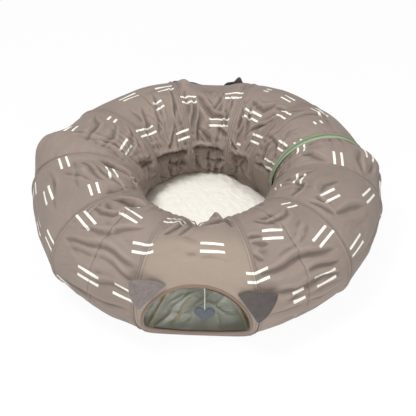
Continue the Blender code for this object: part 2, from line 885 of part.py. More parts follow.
def finishes_for_all():
    return {
        "cloth": finish("taupe_cloth", (0.32, 0.26, 0.22), 0.85),
        "wire": finish("sprung_steel", (0.55, 0.55, 0.56), 0.35, 1.0),
        "pocket": finish("hoop_pocket_cloth", (0.48, 0.38, 0.29), 0.85),
        "rim": finish("binding", (0.20, 0.15, 0.12), 0.8),
        "ear": finish("ear_felt", (0.22, 0.19, 0.19), 0.95),
        "tape": finish("zip_tape", (0.31, 0.33, 0.26), 0.8),
        "teeth": finish("zip_teeth", (0.35, 0.36, 0.30), 0.45),
        "metal": finish("zip_metal", (0.75, 0.75, 0.74), 0.3, 1.0),
        "cord": finish("white_elastic", (0.85, 0.84, 0.82), 0.7),
        "heart": finish("heart_felt", (0.13, 0.15, 0.18), 0.95),
        "plush": finish("cream_plush", (0.83, 0.79, 0.70), 1.0),
        "base": finish("mat_backing", (0.25, 0.23, 0.21), 0.9),
        "hooks": finish("hook_tape", (0.08, 0.08, 0.08), 0.8),
    }


def pivot(name, station, parent):
    """An empty on the upright hinge line at a station's outermost edge."""
    place = heading(station) * RING_OUTER_RADIUS + np.array([0, 0, TUBE_CENTRE_HEIGHT])
    return empty_at(name, place, parent)


def build():
    clear_scene()
    finishes = finishes_for_all()
    front = empty_at("front_section", heading(0) * RING_RADIUS)
    right_1 = pivot("right_hinge_1", 18, front)
    right_2 = pivot("right_hinge_2", 51, right_1)
    right_3 = pivot("right_hinge_3", 83, right_2)
    left_1 = pivot("left_hinge_1", 342, front)
    left_2 = pivot("left_hinge_2", 309, left_1)
    left_3 = pivot("left_hinge_3", 273, left_2)
    left_4 = pivot("left_hinge_4", 237, left_3)
    rear = pivot("rear_hinge", 198, left_4)
    rear_1 = pivot("rear_hinge_1", 162, rear)
    rear_2 = pivot("rear_hinge_2", 134, rear_1)
    carriers = {
        "front_panel": front,
        "right_bay_1": right_1,
        "right_bay_2": right_2,
        "right_bay_3": right_3,
        "left_bay_1": left_1,
        "left_bay_2": left_2,
        "left_bay_3": left_3,
        "left_bay_4": left_4,
        "rear_panel": rear,
        "rear_bay_1": rear_1,
        "rear_bay_2": rear_2,
    }
    shells = {}
    for name, first in BAYS:
        plain = name.endswith("panel") or name == "right_bay_3"
        shells[name] = bay(name, first, finishes["cloth"], carriers[name], plain)

    hoop_carriers = (
        (18, front),
        (51, right_1),
        (83, right_2),
        (134, rear_1),
        (162, rear),
        (198, rear),
        (237, left_3),
        (273, left_2),
        (309, left_1),
        (342, front),
    )
    for station, carrier in hoop_carriers:
        hoop(f"hoop_{station:03d}", station, 0, finishes["wire"], carrier)
        pocket(f"pocket_{station:03d}", station, 0, finishes["pocket"], carrier)
    for suffix, side, carrier in (("a", -1, right_3), ("b", 1, rear_2)):
        setback = side * END_HOOP_SETBACK
        hoop(f"hoop_zip_{suffix}", ZIP_STATION, setback, finishes["wire"], carrier)
        pocket(f"pocket_zip_{suffix}", ZIP_STATION, setback, finishes["pocket"], carrier)
        zip_side(suffix, side, finishes["tape"], finishes["teeth"], carrier)

    metal = finishes["metal"]
    zip_block("zip_stop", STOP_TURN, STOP_LENGTH, STOP_THICKNESS, -1, metal, right_3)
    for name, side, carrier in (("zip_retainer", -1, right_3), ("zip_pin", 1, rear_2)):
        zip_block(name, RETAINER_TURN, RETAINER_LENGTH, RETAINER_THICKNESS, side, metal, carrier)
    slider(metal, metal, right_3)

    entrance(shells["front_panel"], "front_rim", -1, finishes["rim"], front)
    entrance(shells["rear_panel"], "rear_rim", 1, finishes["rim"], rear)
    ear("front_left_ear", FRONT_LEFT_EAR_TURN, -1, finishes["ear"], front)
    ear("front_right_ear", FRONT_RIGHT_EAR_TURN, -1, finishes["ear"], front)
    ear("rear_left_ear", REAR_LEFT_EAR_TURN, 1, finishes["ear"], rear)
    ear("rear_right_ear", REAR_RIGHT_EAR_TURN, 1, finishes["ear"], rear)

    toy(finishes, front)
    mat_holder = mat(finishes)
    tie("front", -1, finishes, mat_holder, front)
    tie("rear", 1, finishes, mat_holder, rear)


build()
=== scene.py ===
"""The looks of a ring-shaped fabric cat tunnel round a plush mat.

Metres, +Z up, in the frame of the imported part: the origin is on the floor at the
ring's middle, and the front entrance faces -Y. Angles round the ring are degrees from
the front, growing towards +X. Turns round the tube are degrees from its outer side,
growing upwards.
"""

import math

import bpy
import numpy as np
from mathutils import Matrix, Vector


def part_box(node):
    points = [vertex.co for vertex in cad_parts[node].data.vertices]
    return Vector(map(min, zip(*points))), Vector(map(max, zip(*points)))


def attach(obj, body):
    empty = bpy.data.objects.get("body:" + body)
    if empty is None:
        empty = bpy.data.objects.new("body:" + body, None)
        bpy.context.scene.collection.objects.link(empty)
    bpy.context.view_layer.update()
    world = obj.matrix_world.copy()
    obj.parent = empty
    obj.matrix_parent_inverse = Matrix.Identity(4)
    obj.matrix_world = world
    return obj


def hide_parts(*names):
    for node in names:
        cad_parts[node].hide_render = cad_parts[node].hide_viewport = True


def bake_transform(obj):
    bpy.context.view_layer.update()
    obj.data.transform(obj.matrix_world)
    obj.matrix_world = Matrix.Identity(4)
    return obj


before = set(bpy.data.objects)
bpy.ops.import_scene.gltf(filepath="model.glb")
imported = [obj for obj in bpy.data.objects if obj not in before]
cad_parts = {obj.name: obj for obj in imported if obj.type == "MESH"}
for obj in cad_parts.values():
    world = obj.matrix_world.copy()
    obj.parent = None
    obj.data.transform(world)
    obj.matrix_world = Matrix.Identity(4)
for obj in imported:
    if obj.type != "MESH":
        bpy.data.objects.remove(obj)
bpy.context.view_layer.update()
MM = 0.001

# The ring and its tube, as the frame has them
RING_OUTER_RADIUS = 0.475
HALF_WIDTH = 0.152
HALF_HEIGHT = 0.134
CENTRE_HEIGHT = 0.121
RING_RADIUS = RING_OUTER_RADIUS - HALF_WIDTH
MEAN_TUBE_RADIUS = math.sqrt(HALF_WIDTH * HALF_HEIGHT)
ZIP_RADIUS = 0.135
ZIP_CENTRE_HEIGHT = 0.1355
ZIP_STATION = 104
STATIONS = (18, 51, 83, 104, 134, 162, 198, 237, 273, 309, 342)
PANEL_HALF_SPAN = 18
WALL = 2.4 * MM

# The photograph's camera
IMAGE_SIDE = 416
FOCAL_PIXELS = 802
VIEW_AXIS_PIXEL = (206.0, 226.5)
SENSOR_WIDTH = 36.0
CAMERA_DISTANCE = 2.29
CAMERA_ELEVATION = 41.8
CAMERA_AZIMUTH = 2.8


def camera_place():
    """Where the photograph was taken from."""
    rise = math.radians(CAMERA_ELEVATION)
    place = heading(CAMERA_AZIMUTH) * CAMERA_DISTANCE * math.cos(rise)
    place[2] = CAMERA_DISTANCE * math.sin(rise)
    return place


def make_camera():
    """A camera that looks at the origin, shifted so that the origin keeps its pixel."""
    data = bpy.data.cameras.new("camera")
    data.sensor_width = SENSOR_WIDTH
    data.lens = FOCAL_PIXELS / IMAGE_SIDE * SENSOR_WIDTH
    data.shift_x = (IMAGE_SIDE / 2 - VIEW_AXIS_PIXEL[0]) / IMAGE_SIDE
    data.shift_y = (VIEW_AXIS_PIXEL[1] - IMAGE_SIDE / 2) / IMAGE_SIDE
    camera = bpy.data.objects.new("camera", data)
    bpy.context.scene.collection.objects.link(camera)
    camera.location = tuple(camera_place())
    tilt = math.radians(90 - CAMERA_ELEVATION)
    camera.rotation_euler = (tilt, 0, math.radians(CAMERA_AZIMUTH))
    bpy.context.scene.camera = camera


# Shader maths


class Socket:
    """A value in a material's node tree. Arithmetic on it adds Math nodes."""

    def __init__(self, paint, link):
        self.paint = paint
        self.link = link

    def maths(self, operation, *others):
        return self.paint.maths(operation, self, *others)

    def __add__(self, other):
        return self.maths("ADD", other)

    def __sub__(self, other):
        return self.maths("SUBTRACT", other)

    def __rsub__(self, other):
        return self.paint.maths("SUBTRACT", other, self)

    def __mul__(self, other):
        return self.maths("MULTIPLY", other)

    def __abs__(self):
        return self.maths("ABSOLUTE")


class Nodes:
    """A node tree, of a material or the world."""

    def __init__(self, tree):
        self.tree = tree

    def node(self, kind, settings=None, inputs=None, output=0):
        """Any node: its settings first, then the values or links of its sockets."""
        made = self.tree.nodes.new(kind)
        for key, value in (settings or {}).items():
            setattr(made, key, value)
        for key, value in (inputs or {}).items():
            self.plug(made.inputs[key], value)
        return Socket(self, made.outputs[output])

    def plug(self, socket, value):
        """Links a socket to a Socket's value, or sets it to a plain one."""
        if isinstance(value, Socket):
            self.tree.links.new(value.link, socket)
        else:
            socket.default_value = value

    def maths(self, operation, *values):
        inputs = dict(enumerate(values))
        return self.node("ShaderNodeMath", {"operation": operation}, inputs)

    def seen_rays(self):
        """One for the camera's rays and those that a surface mirrors or lets through."""
        total = self.node("ShaderNodeLightPath", output="Is Camera Ray")
        for name in ("Is Glossy Ray", "Is Transmission Ray"):
            total = self.maths("MAXIMUM", total, self.node("ShaderNodeLightPath", output=name))
        return total


class Paint(Nodes):
    """A material with one Principled shader, and the nodes that feed it."""

    def __init__(self, name, roughness, metallic=0.0, sheen=0.0, specular=0.5):
        self.material = bpy.data.materials.new(name)
        self.material.use_nodes = True
        super().__init__(self.material.node_tree)
        self.shader = self.tree.nodes["Principled BSDF"]
        self.feed("Roughness", roughness)
        self.feed("Metallic", metallic)
        self.feed("Sheen Weight", sheen)
        self.feed("Specular IOR Level", specular)

    def feed(self, name, value):
        self.plug(self.shader.inputs[name], value)

    def place(self):
        """The point on the object, in metres."""
        return self.node("ShaderNodeTexCoord", output="Object")

    def uv(self, name):
        return self.node("ShaderNodeUVMap", {"uv_map": name})

    def split(self, vector):
        """A vector's three parts."""
        made = self.tree.nodes.new("ShaderNodeSeparateXYZ")
        self.plug(made.inputs[0], vector)
        return [Socket(self, out) for out in made.outputs]

    def stretched(self, vector, scale):
        return self.node("ShaderNodeVectorMath", {"operation": "MULTIPLY"}, {0: vector, 1: scale})

    def noise(self, vector, scale, detail=2.0, roughness=0.5, distortion=0.0):
        inputs = {
            "Vector": vector,
            "Scale": scale,
            "Detail": detail,
            "Roughness": roughness,
            "Distortion": distortion,
        }
        return self.node("ShaderNodeTexNoise", None, inputs)

    def ramp(self, value, low, high, to_low=0.0, to_high=1.0):
        """A smooth step from to_low to to_high as value goes from low to high."""
        inputs = {0: value, 1: low, 2: high, 3: to_low, 4: to_high}
        return self.node("ShaderNodeMapRange", {"interpolation_type": "SMOOTHSTEP"}, inputs)

    def blend(self, factor, first, second):
        """A colour that goes from first to second."""
        made = self.tree.nodes.new("ShaderNodeMix")
        made.data_type = "RGBA"
        self.plug(made.inputs[0], factor)
        for socket, value in ((made.inputs[6], first), (made.inputs[7], second)):
            self.plug(socket, value)
        return Socket(self, made.outputs[2])

    def tones(self, factor, tone, low, high):
        """A colour that goes from one shade of a tone to another."""
        return self.blend(factor, shade_of(tone, low), shade_of(tone, high))

    def bump(self, height, distance, strength):
        """Tilts the shader's normal by a height, of which one stands for the distance."""
        inputs = {"Height": height, "Distance": distance, "Strength": strength}
        normal = self.node("ShaderNodeBump", None, inputs)
        self.feed("Normal", normal)


def colour(red, green, blue):
    """A screen colour, 0 to 255, as a linear colour."""
    parts = []
    for part in (red, green, blue):
        share = part / 255
        parts.append(share / 12.92 if share <= 0.04045 else ((share + 0.055) / 1.055) ** 2.4)
    return (*parts, 1.0)


def shade_of(tone, factor):
    """A tone made darker or lighter by a factor."""
    return (tone[0] * factor, tone[1] * factor, tone[2] * factor, 1.0)


# Printed dashes on the cloth
DASH_HALF_LENGTH = 28.5 * MM
DASH_HALF_WIDTH = 3.5 * MM
DASH_OFFSET = 10.2 * MM
DASH_EDGE = 0.5 * MM
DASH_WOBBLE = 0.9 * MM

# The casing sewn over each hoop, and its row of stitches on either side
CASING_HALF_WIDTH = 8.0 * MM
CASING_STITCH = 6.6 * MM
STITCH_LENGTH = 4.2 * MM

# Threads
WEAVE_PITCH = 0.55 * MM
LINING_PITCH = 0.6 * MM
BRAID_PITCH = 1.3 * MM


def weave(paint, uv, pitch):
    """Over-and-under threads: the product of two sines along and across the cloth."""
    along, across, _ = paint.split(uv)
    turn = math.tau / pitch
    first = paint.maths("SINE", along * turn)
    second = paint.maths("SINE", across * turn)
    return first * second


def stitches(paint, seam):
    """A row of stitches at one distance from the hoop: a thin line, cut into dashes."""
    distance, around, _ = paint.split(seam)
    line = 1 - paint.ramp(abs(abs(distance) - CASING_STITCH), 0.35 * MM, 0.8 * MM)
    dash = paint.maths("SINE", around * (math.tau / STITCH_LENGTH))
    return line * paint.ramp(dash, -0.35, 0.1)


def cloth(name, tone, warm_tone=None):
    """Smooth, tightly woven polyester: fine weave, small crinkles, stitches and print."""
    paint = Paint(name, roughness=0.74, sheen=0.10, specular=0.25)
    uv = paint.uv("cloth")
    place = paint.place()
    patchy = paint.ramp(paint.noise(place, 9.0, 3.0), 0.3, 0.7)
    body = paint.tones(patchy, tone, 0.93, 1.06)
    if warm_tone:
        _, depth, height = paint.split(place)
        outer = paint.ramp(depth, -0.30, -0.36) * paint.ramp(height, 0.03, 0.07)
        body = paint.blend(outer * 0.9, body, warm_tone)
    threads = weave(paint, uv, WEAVE_PITCH)
    slub = paint.noise(paint.stretched(uv, (1.0, 9.0, 1.0)), 160.0, 2.0)
    body = paint.blend(paint.ramp(slub, 0.35, 0.75, 0.0, 0.22), body, shade_of(tone, 1.16))

    along, across, _ = paint.split(paint.uv("print"))
    wobble = (paint.noise(uv, 420.0, 1.0) - 0.5) * DASH_WOBBLE
    end = 1 - paint.ramp(abs(along) + wobble, DASH_HALF_LENGTH - DASH_EDGE, DASH_HALF_LENGTH)
    beside = abs(abs(across) - DASH_OFFSET) + wobble
    side = 1 - paint.ramp(beside, DASH_HALF_WIDTH - DASH_EDGE, DASH_HALF_WIDTH)
    printed = end * side
    cream = paint.blend(patchy, colour(249, 246, 234), colour(252, 251, 243))
    body = paint.blend(printed, body, cream)
    # Painted shade darkens the cloth where it sinks in its creases, and painted highlight lightens
    # its ridges
    painted_relief_shading, painted_ridge_highlight, _ = paint.split(paint.uv("painted_relief_shading"))
    body = paint.blend(paint.ramp(painted_relief_shading, 0.08, 1.0, 0.0, 0.48), body, shade_of(tone, 0.24))
    body = paint.blend(paint.ramp(painted_ridge_highlight, 0.12, 1.0, 0.0, 0.28), body, shade_of(tone, 1.45))

    seam = paint.uv("seam")
    row = stitches(paint, seam)
    distance, _, _ = paint.split(seam)
    joint = 1 - paint.ramp(distance, 0.35 * MM, 1.0 * MM)
    body = paint.blend(paint.maths("MAXIMUM", row * 0.8, joint * 0.7), body, shade_of(tone, 0.34))
    paint.feed("Base Color", body)
    paint.feed("Roughness", paint.ramp(printed + slub * 0.3, 0.0, 1.0, 0.74, 0.60))

    crinkle = paint.noise(uv, 34.0, 4.0, 0.55, 0.9)
    ripple = paint.noise(paint.stretched(uv, (0.45, 1.0, 1.0)), 75.0, 2.0, 0.5, 0.3)
    height = crinkle * 2.2 + ripple * 0.8 + threads * 0.05 - row * 0.4 + printed * 0.10
    paint.bump(height, 1.6 * MM, 0.9)
    return paint.material


def lining(name, tone):
    """Thin coated lining, grey-green and a little shiny, with soft crinkles."""
    paint = Paint(name, roughness=0.34, specular=0.6)
    uv = paint.uv("cloth")
    folds = paint.noise(paint.stretched(uv, (0.7, 1.0, 1.0)), 22.0, 4.0, 0.6, 1.6)
    patchy = paint.ramp(paint.noise(uv, 12.0, 3.0), 0.3, 0.7)
    paint.feed("Base Color", paint.tones(patchy, tone, 0.86, 1.12))
    paint.feed("Roughness", paint.ramp(folds, 0.2, 0.8, 0.28, 0.46))
    paint.bump(folds * 3.4 + weave(paint, uv, LINING_PITCH) * 0.04, 2.2 * MM, 0.9)
    return paint.material


def tape(name, tone, pitch=0.9 * MM, roughness=0.8):
    """Woven tape or binding: ribs across it and a fleck of lighter thread."""
    paint = Paint(name, roughness=roughness, sheen=0.1, specular=0.3)
    uv = paint.uv("cloth")
    along, across, _ = paint.split(uv)
    ribs = paint.maths("SINE", along * (math.tau / pitch))
    threads = paint.maths("SINE", across * (math.tau / pitch))
    fleck = paint.noise(uv, 500.0, 2.0)
    body = paint.tones(paint.ramp(fleck, 0.3, 0.7), tone, 0.85, 1.15)
    body = paint.blend(paint.ramp(ribs, -1.0, 0.2, 0.25, 0.0), body, shade_of(tone, 0.6))
    paint.feed("Base Color", body)
    paint.feed("Roughness", paint.ramp(fleck, 0.2, 0.8, roughness - 0.08, roughness + 0.08))
    paint.bump(ribs * 0.5 + threads * 0.25 + fleck * 0.6, 0.35 * MM, 0.9)
    return paint.material


def felt(name, tone):
    """Pressed felt: a short matted nap, lighter where it has rubbed."""
    paint = Paint(name, roughness=0.92, sheen=0.35, specular=0.15)
    place = paint.place()
    nap = paint.noise(place, 900.0, 3.0, 0.7)
    mats = paint.noise(place, 120.0, 4.0, 0.6, 0.8)
    body = paint.tones(paint.ramp(mats, 0.3, 0.7), tone, 0.85, 1.14)
    body = paint.blend(paint.ramp(nap, 0.55, 0.8, 0.0, 0.35), body, shade_of(tone, 1.4))
    paint.feed("Base Color", body)
    paint.feed("Roughness", paint.ramp(nap, 0.2, 0.8, 0.86, 0.98))
    paint.bump(nap * 0.7 + mats * 0.8, 0.7 * MM, 0.8)
    return paint.material


def plush(name, tone):
    """Deep pile: matted locks over fine fibres."""
    paint = Paint(name, roughness=0.95, sheen=0.5, specular=0.1)
    place = paint.place()
    locks = paint.noise(place, 130.0, 4.0, 0.65, 1.2)
    fibres = paint.noise(place, 1300.0, 2.0, 0.6)
    broad = paint.noise(place, 16.0, 3.0)
    body = paint.tones(paint.ramp(locks, 0.3, 0.7), tone, 0.95, 1.0)
    body = paint.blend(paint.ramp(broad, 0.4, 0.7, 0.0, 0.25), body, shade_of(tone, 0.97))
    body = paint.blend(paint.ramp(fibres, 0.3, 0.75, 0.0, 0.25), body, shade_of(tone, 1.03))
    paint.feed("Base Color", body)
    paint.feed("Roughness", paint.ramp(fibres, 0.2, 0.8, 0.9, 1.0))
    paint.bump(locks * 1.2 + fibres * 0.4, 1.2 * MM, 0.55)
    return paint.material


def metal(name, tone, roughness):
    """Bright metal with a fine grain and a few duller patches."""
    paint = Paint(name, roughness=roughness, metallic=1.0)
    place = paint.place()
    grain = paint.noise(place, 2200.0, 2.0)
    patchy = paint.noise(place, 240.0, 3.0)
    paint.feed("Base Color", paint.tones(patchy, tone, 0.85, 1.0))
    worn = paint.ramp(grain + patchy, 0.6, 1.4, roughness - 0.07, roughness + 0.12)
    paint.feed("Roughness", worn)
    paint.bump(grain, 0.05 * MM, 0.5)
    return paint.material


def coil(name, tone):
    """Moulded nylon with a soft gloss and faint mottling."""
    paint = Paint(name, roughness=0.4, specular=0.5)
    place = paint.place()
    mottle = paint.noise(place, 700.0, 2.0)
    paint.feed("Base Color", paint.tones(mottle, tone, 0.85, 1.12))
    paint.feed("Roughness", paint.ramp(mottle, 0.2, 0.8, 0.32, 0.5))
    paint.bump(mottle, 0.06 * MM, 0.6)
    return paint.material


def cord_cover(name, tone):
    """Braided elastic: two diagonal sets of strands over a round core."""
    paint = Paint(name, roughness=0.75, sheen=0.2)
    along, around, _ = paint.split(paint.uv("cloth"))
    turn = math.tau / BRAID_PITCH
    one = paint.maths("SINE", (along + around) * turn)
    other = paint.maths("SINE", (along - around) * turn)
    strands = paint.maths("MAXIMUM", one, other)
    paint.feed("Base Color", paint.tones(paint.ramp(strands, -0.2, 0.8), tone, 0.74, 1.0))
    paint.feed("Roughness", paint.ramp(strands, -1.0, 1.0, 0.85, 0.65))
    paint.bump(strands, 0.15 * MM, 0.9)
    return paint.material


TAUPE = colour(141, 127, 118)
TAN = colour(152, 138, 125)
LINING_TONE = colour(234, 236, 225)
BINDING_TONE = colour(132, 112, 98)
SEAM_TONE = colour(66, 50, 42)
CHANNEL_TONE = colour(244, 234, 208)
EAR_TONE = colour(122, 112, 110)
SAGE = colour(146, 166, 134)
SAGE_LIGHT = colour(170, 188, 152)


def all_finishes():
    """Every material of the scene, by the key that its pieces use."""
    return {
        "cloth": cloth("taupe_cloth", TAUPE),
        "panel": cloth("tan_panel_cloth", TAUPE, TAN),
        "lining": lining("grey_green_lining", LINING_TONE),
        "channel": lining("hoop_channel_tape", CHANNEL_TONE),
        "binding": tape("entrance_piping", BINDING_TONE, pitch=1.2 * MM, roughness=0.75),
        "overlock": tape("overlocked_seam", SEAM_TONE, pitch=2.4 * MM, roughness=0.85),
        "felt": felt("ear_felt", EAR_TONE),
        # The right front ear's felt: the same felt, darkened as painted shade
        "shaded_felt": felt("ear_felt_painted_shade", shade_of(EAR_TONE, 0.40)),
        "zip_tape_front": tape("sage_tape_front", SAGE_LIGHT),
        "zip_tape_back": tape("sage_tape_back", SAGE),
        "zip_teeth": coil("zip_coil", colour(128, 146, 118)),
        "metal": metal("bright_zip_metal", colour(226, 226, 224), 0.26),
        "wire": metal("sprung_steel", colour(170, 170, 172), 0.34),
        "elastic": cord_cover("white_elastic", colour(240, 238, 234)),
        "heart": felt("slate_felt", colour(98, 103, 112)),
        "plush": plush("cream_plush", colour(255, 252, 243)),
        "backing": tape("mat_backing", colour(128, 122, 116), pitch=1.6 * MM),
        "hooks": tape("hook_tape", colour(44, 44, 46), pitch=1.5 * MM),
    }


# Mesh tools


def heading(angle):
    """The level direction from the ring's middle to an angle round the ring."""
    a = np.radians(angle)
    return np.stack([np.sin(a), -np.cos(a), 0 * a], axis=-1)


def smooth(low, high, value):
    """Nought below low, one above high and an S-curve in between."""
    t = np.clip((value - low) / (high - low), 0, 1)
    return t * t * (3 - 2 * t)


def mesh_object(name, points, faces, material, maps=None, slots=None):
    """A mesh from points, faces (arrays of three or four corners) and maps by corner.

    material may be a list, and slots then gives each face's place in it.
    """
    corners = np.concatenate([f.ravel() for f in faces])
    sizes = np.concatenate([np.full(len(f), f.shape[1]) for f in faces])
    starts = np.concatenate([[0], np.cumsum(sizes)[:-1]])
    mesh = bpy.data.meshes.new(name)
    mesh.vertices.add(len(points))
    mesh.vertices.foreach_set("co", np.asarray(points, np.float32).ravel())
    mesh.loops.add(len(corners))
    mesh.loops.foreach_set("vertex_index", corners.astype(np.int32))
    mesh.polygons.add(len(sizes))
    mesh.polygons.foreach_set("loop_start", starts.astype(np.int32))
    mesh.polygons.foreach_set("use_smooth", np.full(len(sizes), True))
    for key, values in (maps or {}).items():
        layer = mesh.uv_layers.new(name=key)
        layer.data.foreach_set("uv", np.asarray(values, np.float32).ravel())
    for entry in material if isinstance(material, list) else [material]:
        mesh.materials.append(entry)
    if slots is not None:
        mesh.polygons.foreach_set("material_index", slots.astype(np.int32))
    mesh.update(calc_edges=True)
    mesh.validate()
    thing = bpy.data.objects.new(name, mesh)
    bpy.context.scene.collection.objects.link(thing)
    return thing


def grid_faces(rows, columns, round_rows=False, round_columns=False):
    """Quads of a grid numbered row by row, which may close on itself either way."""
    index = np.arange(rows * columns).reshape(rows, columns)
    if round_rows:
        index = np.vstack([index, index[:1]])
    if round_columns:
        index = np.hstack([index, index[:, :1]])
    quads = [index[:-1, :-1], index[1:, :-1], index[1:, 1:], index[:-1, 1:]]
    return np.stack(quads, axis=-1).reshape(-1, 4)


def outward(points, faces):
    """The faces, turned round together if they enclose a negative volume."""
    total = 0.0
    for some in faces:
        a, b, c = points[some[:, 0]], points[some[:, 1]], points[some[:, 2]]
        total += np.einsum("ij,ij->", a, np.cross(b, c))
        if some.shape[1] == 4:
            d = points[some[:, 3]]
            total += np.einsum("ij,ij->", a, np.cross(c, d))
    return faces if total >= 0 else [some[:, ::-1] for some in faces]


def turned_round(values):
    """Corner values of quads whose corners are taken the other way."""
    return values.reshape(-1, 4, 2)[:, ::-1].reshape(-1, 2)


def unit(vectors):
    """The same directions with a length of one."""
    return vectors / np.linalg.norm(vectors, axis=-1, keepdims=True)


def square_to(axes, vectors):
    """What is left of each vector at right angles to its axis, with a length of one."""
    return unit(vectors - axes * np.einsum("ij,ij->i", vectors, axes)[:, None])


def circle(count, radius):
    a = np.linspace(0, math.tau, count, endpoint=False)
    return np.stack([np.cos(a), np.sin(a)], axis=-1) * radius


def signed_power(value, power):
    """A power of the value's size, with the value's sign."""
    return np.sign(value) * np.abs(value) ** power


def corners_of(node):
    """The two far corners of a node's box, as arrays."""
    return [np.array(corner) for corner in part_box(node)]


def finish_piece(thing, body, slot, *nodes):
    """Gives a piece its body and hides the nodes that it replaces. Its slot is not used."""
    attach(thing, body)
    if nodes:
        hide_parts(*nodes)
    return thing


# The tube

# The cloth below an entrance spreads out on the floor: how far, the turn where it does so
# most, its spread in turns, and the degrees from the entrance between which it ends
SKIRT = 27.0 * MM
SKIRT_TURN = -62
SKIRT_SPREAD = 14
SKIRT_ENDS = (15, 31)

# The inner cloth is tucked in beside the mat in the same way. Behind the mat, between
# these ring angles, most of the tuck is missing
TUCK = 30.0 * MM
TUCK_TURN = 240
TUCK_SPREAD = 17
OPEN_REAR = (148, 166, 230, 254)
OPEN_REAR_SHARE = 0.75

# Metres round the tube in one degree of turn
TURN_RISE = math.radians(MEAN_TUBE_RADIUS)


def section(station, turn, inset):
    """Outward distance and height of the tube's section at a station, by turn.

    An ellipse cut flat by the floor, or a circle at the zip.
    """
    if station % 360 == ZIP_STATION:
        half_width = half_height = ZIP_RADIUS
        centre = ZIP_CENTRE_HEIGHT
    else:
        half_width, half_height = HALF_WIDTH, HALF_HEIGHT
        centre = CENTRE_HEIGHT
    a = np.radians(turn)
    across = (half_width - inset) * np.cos(a)
    height = centre + (half_height - inset) * np.sin(a)
    return across, np.maximum(height, inset + 0 * height)


def degree_length(turn):
    """Metres along the ring in one degree of ring angle, at a turn of the tube."""
    return np.radians(RING_RADIUS + HALF_WIDTH * np.cos(np.radians(turn)))


def tube_height(turn):
    """The height of the tube's plain wall at a turn, without its flat foot."""
    return CENTRE_HEIGHT + HALF_HEIGHT * np.sin(np.radians(turn))


def station_point(station, turn, inset=0.0):
    """Points of the tube's section at a station, by turn."""
    across, height = section(station, turn, inset)
    points = (RING_RADIUS + across)[..., None] * heading(station)
    points[..., 2] = height
    return points


def skirt_at(angle, turn):
    """How far the cloth below an entrance is spread out on the floor, in metres."""
    reach = np.exp(-(((turn - SKIRT_TURN) / SKIRT_SPREAD) ** 2))
    from_entrance = 90 - np.abs(np.abs(ring_offset(angle, 0)) - 90)
    return SKIRT * reach * (1 - smooth(*SKIRT_ENDS, from_entrance))


def behind_mat(angle):
    """One at the ring angles where the mat's rear edge rests on the tunnel, else nought."""
    level = angle % 360
    return smooth(*OPEN_REAR[:2], level) * (1 - smooth(*OPEN_REAR[2:], level))


def tuck_at(angle, turn):
    """How far the inner cloth is tucked in beside the mat: less behind the mat."""
    reach = np.exp(-(((turn - TUCK_TURN) / TUCK_SPREAD) ** 2))
    return TUCK * reach * (1 - OPEN_REAR_SHARE * behind_mat(angle))


def tube_point(first, last, share, turn, inset=0.0, lift=0.0):
    """A point on a bay: straight from hoop to hoop, then lift along the tube's normal.

    Near the floor it also moves level: on the inner side towards the mat, as cloth that
    is tucked down beside it, and below the entrances outwards.
    """
    base = station_point(first, turn, inset)
    points = base + (station_point(last, turn, inset) - base) * share[..., None]
    angle = first + (last - first) * share
    level = heading(angle)
    a = np.radians(turn)
    out, up = np.cos(a) / HALF_WIDTH, np.sin(a) / HALF_HEIGHT
    size = np.hypot(out, up)
    normal = level * (out / size)[..., None]
    normal[..., 2] = up / size
    points = points + normal * np.broadcast_to(lift, share.shape)[..., None]
    points += level * (skirt_at(angle, turn) - tuck_at(angle, turn))[..., None]
    points[..., 2] = np.maximum(points[..., 2], inset)
    return points


# Folds, each as depth and width in millimetres and a path of (ring angle, turn). The
# cloth falls steeply from a high lip on the path's right into the valley.
LEFT_FOLDS = (
    (15, 10, ((296, 146), (284, 134), (278, 120), (275, 104))),
    (8, 8, ((298, 101), (290, 94), (278, 87))),
    (4, 9, ((284, 66), (296, 90))),
    (16, 11, ((327, 113), (318, 114), (313, 108), (311, 96))),
    (6, 7, ((312, 92), (319, 82))),
    (8, 6, ((325, 92), (322, 80), (317, 76), (310, 80))),
    (7, 9, ((337, 87), (331, 74), (326, 64), (321, 59), (314, 55))),
    (7, 11, ((342, 46), (331, 50), (326, 48), (320, 44), (311, 38))),
    (6, 10, ((342, 34), (332, 40), (328, 40), (321, 37), (313, 31))),
    (5, 11, ((342, 24), (335, 22), (327, 16), (316, 13))),
    (5, 9, ((341, 2), (326, -4), (312, -8))),
    (4, 10, ((340, -18), (326, -24), (313, -26))),
    (5, 10, ((269, 140), (266, 116), (262, 90), (256, 62))),
    (8, 9, ((264, 86), (250, 84), (242, 72))),
    (7, 8, ((266, 102), (255, 108), (244, 100))),
    (8, 8, ((264, 130), (250, 128), (239, 120))),
    (7, 9, ((304, 120), (296, 112), (288, 100), (281, 96))),
    (5, 11, ((300, 44), (288, 52), (277, 50))),
    (4, 12, ((303, 8), (290, 14), (278, 12))),
    (7, 8, ((306, 96), (304, 112), (306, 130))),
)
FRONT_FOLDS = (
    (4, 15, ((345, 88), (355, 80), (2, 73))),
    (7, 6, ((356, 100), (352, 84))),
    (14, 9, ((13, 112), (8, 106), (2, 103), (356, 99))),
    (4, 12, ((12, 56), (4, 62), (354, 64))),
    (8, 8, ((352, 112), (350, 96), (346, 84))),
    (8, 7, ((25, 78), (21, 82), (18, 84))),
    (8, 7, ((26, 68), (22, 74), (18, 76))),
    (7, 7, ((23, 54), (19, 64), (18, 70))),
    (11, 12, ((48, 38), (38, 44), (30, 44), (24, 43), (18, 44))),
    (8, 13, ((47, 14), (38, 19), (30, 18), (24, 22), (19, 30))),
    (6, 10, ((48, 26), (40, 30), (34, 30))),
    (5, 12, ((48, -5), (38, -4), (29, -1), (20, 2))),
    (4, 10, ((47, 5), (36, 8), (24, 11))),
    (5, 10, ((46, -22), (36, -24), (24, -20))),
    (10, 8, ((43, 96), (40, 89), (36, 86), (31, 87), (26, 99))),
    (4, 8, ((33, 76), (33, 90))),
    (4, 10, ((45, 70), (40, 62), (36, 56))),
    (4, 10, ((30, 62), (38, 66), (44, 78))),
)
